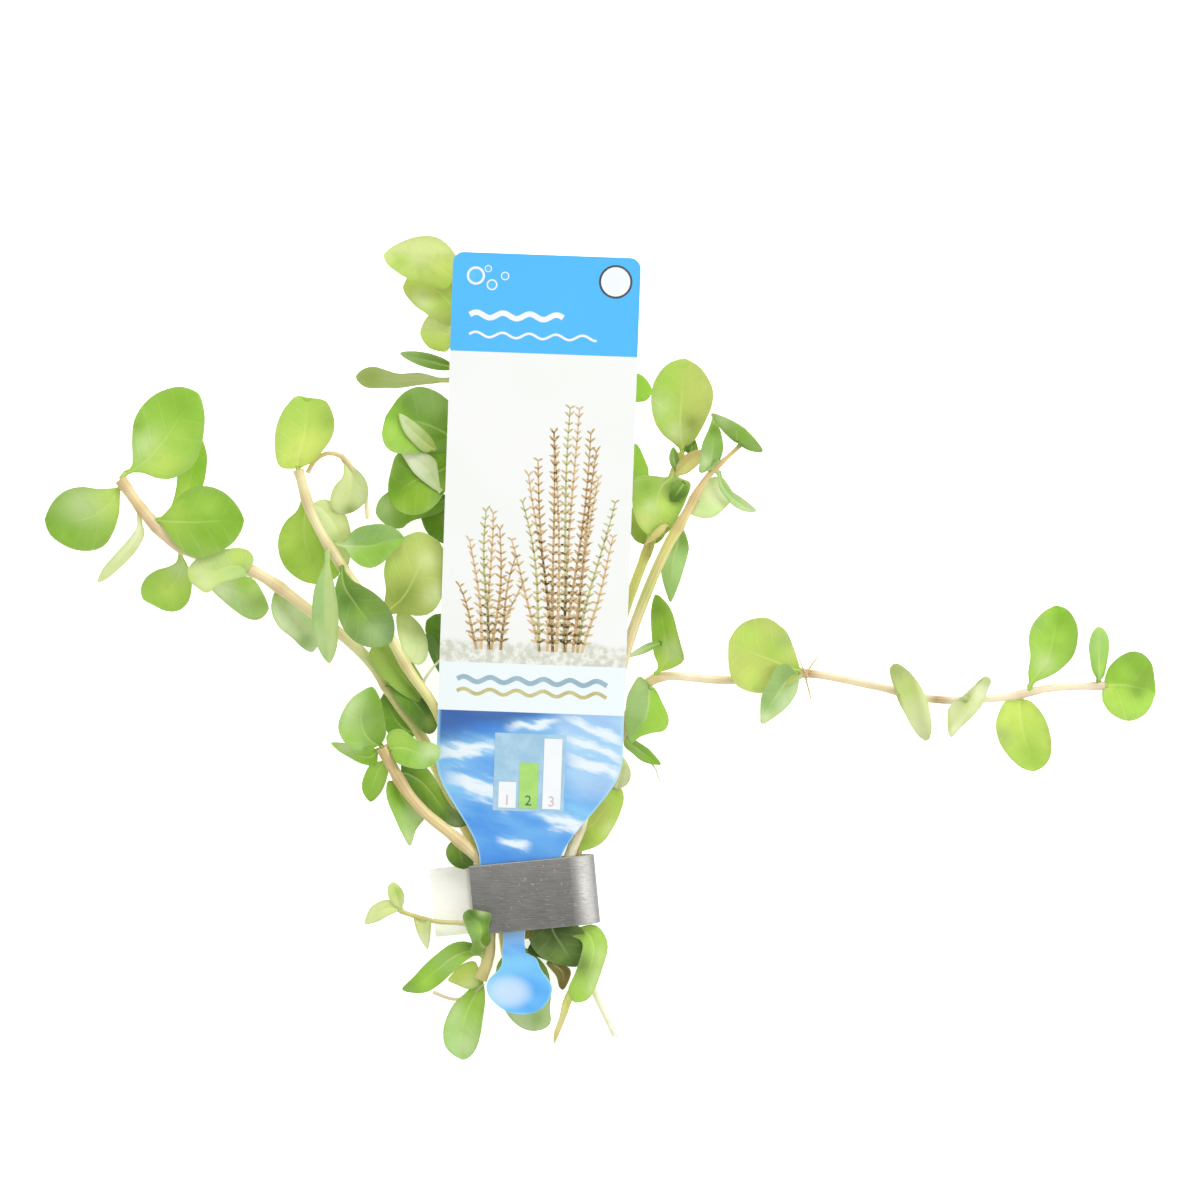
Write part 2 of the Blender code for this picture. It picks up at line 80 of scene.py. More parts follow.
LABEL_RISE = 12.5
LABEL_LIFT_FROM = 3.0

# Printed fields of the label, as heights above the strip's middle
HEADER_FOOT = 89.4
PANEL_FOOT = 38.2
WATER_TOP = 30.2
SAND_TOP = 41.8
INK_LIFT = 0.02
PRINT_DEPTH = 0.76

# Printed water plants: where they root, and each group's middle, tallest plant and count
PLANT_FOOT = 40.4
PLANT_GROUPS = ((-7.2, 26.0, 7), (4.6, 44.0, 13))

# Printed crests of the water: middle, level, slope, reach to either side, and half width
CRESTS = ((-10.0, 23.8, 0.1, 8.0, 1.5), (-7.5, 17.4, -0.3, 8.0, 2.3), (6.5, 12.2, -0.3, 7.0, 1.7),
          (11.0, 27.6, -0.4, 7.0, 1.1), (11.0, 24.6, -0.36, 7.5, 1.2),
          (11.5, 21.4, -0.32, 7.0, 1.5), (0.5, 28.2, 0.1, 5.5, 0.9), (-2.0, 8.4, -0.15, 3.5, 1.0))

# Printed bubbles (place and radius) and wave lines (level, length and width)
BUBBLES = ((-11.6, 101.8, 1.5), (-8.9, 100.4, 0.9), (-9.6, 103.0, 0.6), (-6.8, 101.9, 0.7))
WAVE_LEFT = -12.4
WAVE_LINES = ((95.4, 15.4, 0.9), (92.2, 21.0, 0.4), (35.4, 24.8, 0.8), (33.4, 24.8, 0.6))

# Leaves and stems
LEAF_ROWS = 30
LEAF_COLUMNS = 16
LEAF_THICK = 0.3
OUTLINE_STEP = 0.4
STALK_ROWS = 3
STALK_HALF = 0.42
GAP = 0.35
SPOON_STALK = 0.12
OVAL_POINTS = 16
RIB_GROOVE = 0.12
RIB_KEEL = 0.3
RIM_SHARE = 0.4
PATCH_SHARE = 0.85
LEAF_CLEARNESS = 0.4
FLOOR_CLEAR = 0.05
VEIN_PAIRS = 6.5
STEM_SIDES = 16
TWIG_SIDES = 8
SLIM_END = {"stem_right": 0.6}
STEM_STEP = 1.4

# Camera: it looks straight down, and 200 mm of the surface fill the picture
VIEW_CENTRE = (10.83, 48.83)
VIEW_SIDE = 200.0
LENS = 250.0
SENSOR = 36.0
CAMERA_HEIGHT = VIEW_SIDE * LENS / SENSOR

# Units of the picture: where the strip's middle is in it, and how many go into a millimetre
PICTURE_ORIGIN = (535, 893)
PICTURE_SCALE = 6.0

# Leaf and stem colours, 0 to 255, mostly as seen in even light; the shade and pine tones also serve as
# painted shade where leaves lie under the strip and beside the label
TONES = {
    "lime": (190, 220, 98),
    "bright": (172, 213, 90),
    "mid": (150, 197, 70),
    "deep": (126, 172, 52),
    "shade": (92, 132, 44),
    "olive": (178, 198, 104),
    "pale": (214, 230, 166),
    "blue": (182, 215, 148),
    "slate": (134, 170, 100),
    "yellow": (214, 214, 116),
    "tan": (214, 190, 132),
    "pink": (232, 212, 178),
    "cream": (232, 224, 176),
    "brown": (140, 96, 50),
    "rim": (150, 176, 112),
    "glow": (216, 234, 118),
    "haze": (214, 230, 178),
    "milk": (240, 245, 222),
    "moss": (84, 128, 24),
    "grass": (124, 174, 40),
    "straw": (226, 222, 140),
    "ash": (208, 217, 186),
    "blush": (243, 230, 208),
    "bark": (118, 84, 34),
    "khaki": (172, 186, 92),
    "sage": (152, 182, 118),
    "pine": (56, 88, 30),
    "acid": (150, 188, 46),
}

# Kinds of leaf: the colour of the light that comes through, and the first tones that are of it; the
# dark kind also takes the leaves painted in shade, as a shaded copy
LEAF_KINDS = {
    "young": ((224, 222, 164), ("lime", "pale", "yellow", "olive", "haze", "milk",
                                 "straw", "ash", "khaki")),
    "full": ((190, 212, 106), ("bright", "mid", "blue", "slate", "sage", "acid")),
    "dark": ((104, 146, 56), ("deep", "shade", "grass", "moss", "bark", "pine")),
}

# Stems: radius at the cut end, in the strip and at the tip, tone at foot and tip, and centre line
STEMS = {
    "stem_far_left": (0.9, 1.0, 0.85, "straw", "pink", [
        (-4.6, -10.5, 2.5), (-6.3, 0, 2.4), (-9.5, 7, 2.6), (-14, 16, 3.2), (-18.8, 26, 4.2),
        (-22.5, 31.3, 5), (-28.3, 39.7, 6.6), (-37.8, 47.5, 8.6), (-46.7, 53.6, 9.2),
        (-58.3, 57.4, 9.0), (-64.2, 62.8, 8.6), (-68.6, 68.8, 8.2)]),
    "stem_left": (0.8, 0.9, 0.75, "yellow", "cream", [
        (-4.2, -8.5, 4.9), (-4.6, 0, 4.85), (-6.3, 7, 4.9), (-11, 18, 6.4), (-16.3, 30.5, 8),
        (-20.8, 37.2, 9.6), (-26.2, 46.7, 12), (-32.5, 55.5, 14), (-36.7, 63, 15),
        (-38.9, 70.3, 15.6)]),
    "shoot_arching": (0.4, 0.4, 0.35, "tan", "cream", [
        (-37.4, 69.8, 14.4), (-36.2, 71.8, 14.8), (-34.2, 73, 15.4), (-31.7, 72.5, 15.6),
        (-29.6, 70, 15.2), (-28, 67, 14.6), (-27.5, 62.2, 14)]),
    "stem_short_left": (0.9, 1.0, 0.9, "cream", "tan", [
        (-9, -14.2, 4.2), (-7.7, -10, 4.6), (-7.3, 0, 4.85), (-8.8, 5, 5.4), (-10.9, 7.4, 6.3),
        (-14.4, 10.5, 7.8), (-18.3, 13.8, 9.2), (-21.7, 18, 10.6), (-25.2, 24.5, 12)]),
    "stem_behind_label": (0.8, 0.9, 0.7, "milk", "tan", [
        (-2.9, -8, 2.4), (-3.6, 0, 2.35), (-5.2, 8, 3), (-8, 22, 4.2), (-10.3, 40, 6.4),
        (-11.5, 55, 8.2), (-12, 68, 9.2), (-12.2, 80, 10), (-12.4, 90, 10.6), (-12.6, 101, 11)]),
    "stem_centre": (0.8, 0.9, 0.7, "yellow", "olive", [
        (-0.7, -7.5, 2.4), (-0.9, 0, 2.35), (1, 12, 2.5), (1.8, 30, 3.2), (2.2, 50, 4),
        (2.5, 70, 4.8), (3, 88, 5.4)]),
    "stem_right_inner": (0.8, 0.9, 0.75, "olive", "yellow", [
        (1.7, -7.4, 4.7), (1.2, 0, 4.8), (4.2, 12, 4.8), (9.2, 28, 5.4), (13.4, 42, 6.4),
        (16.4, 51, 7.4), (19.4, 59, 8.6), (21.4, 65, 9.6), (24.4, 73, 10.8)]),
    "stem_right": (0.5, 1.0, 0.85, "milk", "tan", [
        (13.3, -23.7, 1.2), (10.3, -17, 2.4), (6.4, -8, 4.2), (4.1, 0, 4.85), (8.4, 14, 5.4),
        (12.6, 30, 7.2), (15.8, 42.5, 8.8), (20.8, 55.3, 11.4), (25, 63, 12.8),
        (28.3, 68.8, 13.6), (33.8, 74.2, 14.2)]),
    "stem_trailing": (0.7, 0.8, 0.6, "tan", "blush", [
        (6, -5.2, 2.3), (6.1, 0, 2.3), (6.8, 6, 2.3), (8.8, 11.5, 2.3), (12.2, 20, 2.6),
        (15.6, 30, 3.1), (18.2, 34.4, 3.4), (22, 36.2, 3.6), (32.5, 35.5, 3.6),
        (44.2, 36.7, 3.4), (55.8, 34.7, 3.2), (66.7, 32.3, 3.4), (77.5, 32.6, 3.8),
        (85.8, 34.2, 4.2), (94.7, 34.6, 4.4)]),
    "shoot_low": (0.4, 0.4, 0.35, "cream", "yellow", [
        (-9.2, -5.8, 4.4), (-12, -4.9, 3.9), (-15.8, -4.7, 3.3), (-19.2, -4, 2.8),
        (-22.4, -2.9, 2.6)]),
}

# Leaves: where the stem carries it, where its tip is, the tip's height over the stem, the width,
# the roll about its own axis, how far the edges cup up, how far the middle arches up, its form,
# its two tones, and the direction in plan towards which the second tone lies. The split is partly
# the leaf's own colour and partly painted light and shade, one side lighter than the other as the
# light falls on it.
LEAVES = {
    "stem_far_left": [
        ("leaf_far_left_end", (-69.2, 67.2), (-81.2, 60.2), -8.2, 10.4, -4, 0.9, 1.2, "round",
         "bright", "deep", -110),
        ("leaf_far_left_top", (-68.6, 68.8), (-56.4, 84), 2.5, 13.0, 6, 1.0, 1.2, "round",
         "bright", "mid", 90),
        ("leaf_far_left_back", (-62, 61.6), (-56, 77), -4.5, 7.6, 0, 0.6, 0.6, "spoon",
         "bright", "mid", 0),
        ("leaf_far_left_dark", (-62.6, 61.8), (-48.6, 61.2), 2.8, 11.6, -6, 1.1, 1.0, "round",
         "mid", "deep", -50),
        ("leaf_far_left_edge", (-65.2, 63.4), (-73, 52.2), -5, 6.5, -62, 0.5, 0.8, "long",
         "milk", "haze", -120),
        ("leaf_far_left_small", (-58.6, 57.6), (-65.2, 48.2), -8.6, 7.6, 4, 0.5, 0.2, "round",
         "bright", "lime", 50),
        ("leaf_far_left_pale", (-47.6, 53.4), (-58.2, 53), 0.6, 7.8, 6, 0.5, 1.2, "round",
         "lime", "blue", 60),
        ("leaf_far_left_low", (-54.8, 56), (-44.4, 46.6), -6.6, 7.4, 8, 0.6, -0.8, "round",
         "blue", "pale", 30),
        ("leaf_left_hanging", (-42.4, 51), (-37.4, 40.6), -6.8, 7.0, -14, 0.6, 0.4, "round",
         "blue", "milk", -120),
        ("leaf_left_inner", (-24.8, 34.8), (-17.2, 26.6), 0.8, 6.2, 0, 0.1, 0.1, "round",
         "deep", "shade", 0),
    ],
    "stem_left": [
        ("leaf_left_notched", (-38.9, 70.3), (-38, 83.2), 1.4, 10.2, -4, 0.9, 1.0, "notched",
         "lime", "mid", 100),
        ("leaf_left_bright", (-38, 66.2), (-38.6, 51.6), -7.6, 10.2, 0, 0.2, -0.3, "round",
         "bright", "lime", 200),
        ("leaf_left_pale", (-37.2, 64.4), (-31.4, 54), -4.4, 8, 0, 0.4, -0.3, "round",
         "haze", "pale", 0),
        ("leaf_left_upright", (-33.4, 57.4), (-34, 38.6), 2, 5.8, 38, 0.6, 1.4, "long",
         "blue", "pale", "fold"),
        ("leaf_left_two_tone", (-33.6, 57.8), (-22.4, 59), -0.6, 7.2, 14, 0.6, 0.8, "spoon",
         "slate", "mid", "fold"),
        ("leaf_left_dark", (-31.8, 54.4), (-24, 41.8), 3.4, 9, -10, 1.0, 0.9, "round",
         "deep", "slate", -60),
        ("leaf_left_olive", (-25.4, 45.6), (-17, 60), -0.8, 9.4, -8, 0.9, 0.6, "spoon",
         "khaki", "olive", 60),
        ("leaf_left_behind", (-21.6, 38.4), (-19.8, 47.6), -4.8, 6.4, -8, 0.6, 0.4, "round",
         "olive", "haze", -90),
    ],
    "shoot_arching": [
        ("leaf_arching", (-31.4, 72.4), (-29.8, 61.6), -3, 6.2, 10, 0.6, 0.6, "spoon",
         "pale", "haze", -60),
    ],
    "stem_short_left": [
        ("leaf_short_top", (-25.2, 24.5), (-30.8, 34.2), 2.4, 8.6, 10, 0.9, 0.9, "round",
         "blue", "deep", 0),
        ("leaf_short_left", (-24.9, 23.9), (-33.7, 24.2), -2.4, 5.0, -28, 0.6, 0.4, "long",
         "mid", "bright", 180),
        ("leaf_short_lower", (-24.4, 23), (-27.9, 15.4), -5, 5.2, -10, 0.5, 0.4, "long",
         "bright", "mid", 180),
        ("leaf_short_down", (-22.2, 18.8), (-21.4, 8), -5, 5.8, -12, 0.7, 0.2, "long",
         "mid", "blue", -30),
        ("leaf_short_right", (-24.8, 23.8), (-17.6, 28.2), 0.6, 6.2, 10, 0.7, 0.6, "round",
         "bright", "mid", -60),
        ("leaf_short_folded", (-22.4, 19.4), (-10.6, 13.8), -6.2, 5.4, -10, 0.2, 0.2, "round",
         "grass", "moss", -120),
        ("leaf_by_strip", (-12.4, 8.8), (-12.8, 4.2), -3.8, 4.8, 0, 0.4, 0.2, "round",
         "deep", "moss", -60),
        ("leaf_foot_curled", (-7.6, -9.4), (-11.6, -3.2), 8.4, 4.2, 6, 0.3, 1.5, "round",
         "slate", "moss", "fold"),
        ("leaf_foot_left", (-7.8, -10.4), (-21.7, -15.8), 0.6, 5.2, -10, 0.6, 0.8, "spoon",
         "mid", "deep", -90),
        ("leaf_foot_pale", (-8.4, -12.6), (-14.8, -15), -2.6, 4.2, 0, 0.4, 0.2, "round",
         "lime", "pale", -90),
        ("leaf_foot_spoon", (-9, -14.2), (-12.7, -27.2), -3.4, 6.8, 6, 0.8, 0.6, "spoon",
         "bright", "blue", -110),
    ],
    "stem_behind_label": [
        ("leaf_crown_pale", (-12.6, 101), (-25.2, 106.6), 2.4, 8.6, -8, 0.8, 0.9, "round",
         "lime", "pale", 90),
        ("leaf_crown_low", (-12.5, 96), (-21.2, 101.4), -2.4, 8.2, 6, 0.7, 0.6, "round",
         "lime", "olive", 0),
        ("leaf_edge_small", (-12.5, 92.4), (-19.4, 93.8), -3.6, 5.8, 0, 0.4, 0.4, "round",
         "pale", "lime", -90),
        ("leaf_edge_twisted", (-12.4, 87), (-22.2, 89.6), 2.4, 2.6, 20, 0.2, 0.3, "long",
         "sage", "shade", 0),
        ("leaf_edge_narrow", (-12.3, 85.2), (-29.5, 86), -0.6, 4.6, -46, 0.5, 0.7, "long",
         "ash", "sage", 180),
        ("leaf_edge_dark", (-12.1, 74.6), (-24.6, 81.4), 2.8, 10.4, -6, 1.1, 1.0, "round",
         "mid", "slate", 30),
        ("leaf_edge_folded", (-12, 71), (-23.4, 64.8), 1.4, 8.6, 10, 1.1, 0.8, "round",
         "acid", "grass", 120),
        ("leaf_edge_low", (-11.9, 66), (-25.6, 61.2), -4.2, 6.0, 14, 0.6, 0.4, "long",
         "mid", "sage", 180),
        ("leaf_edge_lower", (-11.5, 56.6), (-18.8, 65), -1.6, 6.0, -6, 0.6, 0.4, "round",
         "grass", "moss", 0),
        ("leaf_edge_last", (-10.4, 41), (-18, 45.4), -3.4, 6.0, 8, 0.6, 0.4, "round",
         "deep", "shade", 0),
        ("leaf_foot_under_paddle", (-2.9, -8), (-1.4, -22.8), -1.2, 7.4, 4, 0.3, 0.2, "spoon",
         "sage", "ash", -90),
    ],
    "stem_centre": [
        ("leaf_hidden_top", (2.8, 82), (19.2, 84.8), -1.6, 9.0, 4, 0.5, 0.6, "round",
         "bright", "mid", 0),
        ("leaf_hidden_left", (2.4, 68), (-7.6, 75), -4.6, 9.0, -4, 0.2, 0.3, "round",
         "mid", "deep", 0),
        ("leaf_hidden_right", (2.5, 66), (18.4, 72.4), -2.2, 9.0, 8, 0.7, 0.7, "round",
         "bright", "mid", -90),
        ("leaf_hidden_low", (2.0, 44), (-7, 51), -1.8, 8.6, 6, 0.7, 0.5, "round",
         "mid", "deep", 0),
        # leaf_foot_dark is painted in shade all over, as it lies in shade beneath the stems and the
        # strip.
        ("leaf_foot_dark", (-0.7, -7.5), (7.2, -10.8), -0.7, 7.4, 0, 0.1, 0.1, "round",
         "shade", "shade", 0),
    ],
    "stem_right_inner": [
        ("leaf_right_top", (24.4, 73), (24.7, 88.5), 3.4, 10.2, 4, 0.9, 1.1, "round",
         "olive", "mid", 180),
        ("leaf_right_bright", (23, 69.6), (17.8, 60.2), 1.2, 8.6, -4, 0.7, 0.5, "round",
         "bright", "olive", 90),
        ("leaf_right_olive", (18.6, 57), (19, 66), -3, 6.6, 0, 0.5, -0.4, "round",
         "olive", "deep", -90),
    ],
    "stem_right": [
        ("leaf_right_tip", (33.8, 74.2), (36, 78.2), 6, 10.2, 0, 0.6, 0.3, "long",
         "slate", "blue", 60),
        ("leaf_right_upright", (30.4, 71.2), (28.6, 79.4), 2, 5.4, -30, 0.5, 0.4, "long",
         "slate", "bright", 90),
        ("leaf_right_pale", (26.6, 65.6), (33.4, 65.6), -3.6, 6.8, 0, 0.6, 0.3, "round",
         "haze", "blue", 0),
        ("leaf_right_point", (29.8, 70.4), (37.2, 63.8), -3.4, 3.0, -14, 0.3, 0.6, "long",
         "blue", "ash", 0),
        ("leaf_right_hanging", (24, 61), (23.8, 48.4), -7.4, 5.4, -30, 0.3, 0.1, "long",
         "sage", "blue", "fold"),
        ("leaf_low_bright", (7.4, 10.6), (13.9, 17.6), -1.6, 6.4, 0, 0.7, 0.2, "spoon",
         "lime", "bright", 0),
        ("leaf_foot_slim", (8, -11.6), (3.6, -24.9), -2.2, 2.4, 10, 0.2, 0.2, "long",
         "straw", "pink", -90),
        ("leaf_foot_bright", (5.6, -6.4), (7.4, -18.4), 0.8, 7.0, -6, 0.4, 0.3, "round",
         "bright", "mid", 180),
    ],
    "stem_trailing": [
        ("leaf_bend_up", (20.4, 35.6), (21.4, 49.4), 4.4, 6.6, 30, 0.7, 0.7, "long",
         "mid", "lime", -45),
        ("leaf_bend_down", (18.6, 34.8), (19.2, 24.6), 1.8, 7, -14, 0.7, 0.6, "round",
         "sage", "mid", "fold"),
        ("leaf_bend_point", (14.4, 26.6), (20.6, 21.8), -1, 2.2, 0, 0.2, 0.2, "long",
         "slate", "deep", 0),
        ("leaf_trail_round", (44, 36.6), (32.2, 41.6), 1.8, 11.8, 10, 0.9, 1.0, "round",
         "khaki", "olive", 90),
        ("leaf_trail_front", (44, 36.6), (37.8, 28.4), 4.8, 6.8, -22, 0.8, 0.8, "long",
         "sage", "ash", -45),
        ("leaf_trail_edge", (60.8, 33.3), (64, 31.4), 8.0, 12, 0, 0.8, 0.4, "round",
         "pale", "haze", -90),
        ("leaf_trail_twisted", (72, 32.4), (73.4, 31.2), 7.0, 9.6, 0, 0.5, 0.3, "round",
         "milk", "ash", -60),
        ("leaf_trail_up", (82.4, 33.6), (87.8, 47), 1.8, 8.2, 6, 0.8, 1.0, "round",
         "mid", "bright", -110),
        ("leaf_trail_down", (80.6, 33.2), (81.9, 20.8), -3.7, 9.0, -6, 0.8, 0.8, "round",
         "lime", "bright", -60),
        ("leaf_trail_slim", (93.8, 34.6), (92.4, 44.4), 2.6, 6.0, -60, 0.5, 0.6, "long",
         "slate", "mid", 90),
        ("leaf_trail_end", (94.7, 34.6), (103, 34.2), 1.2, 11.0, 0, 1.2, 0.3, "round",
         "mid", "bright", "fold"),
    ],
    "shoot_low": [
        ("leaf_low_tip", (-22.2, -3), (-23.6, 1.6), 1.4, 2.4, 10, 0.2, 0.3, "round",
         "pale", "haze", 0),
        ("leaf_low_side", (-22, -3), (-28.2, -3.4), -0.6, 3.6, -10, 0.3, 0.4, "round",
         "pale", "haze", 180),
        ("leaf_low_root", (-18.6, -4.1), (-18.8, -9.2), -0.4, 2.8, 20, 0.2, 0.3, "round",
         "pale", "milk", -90),
    ],
}

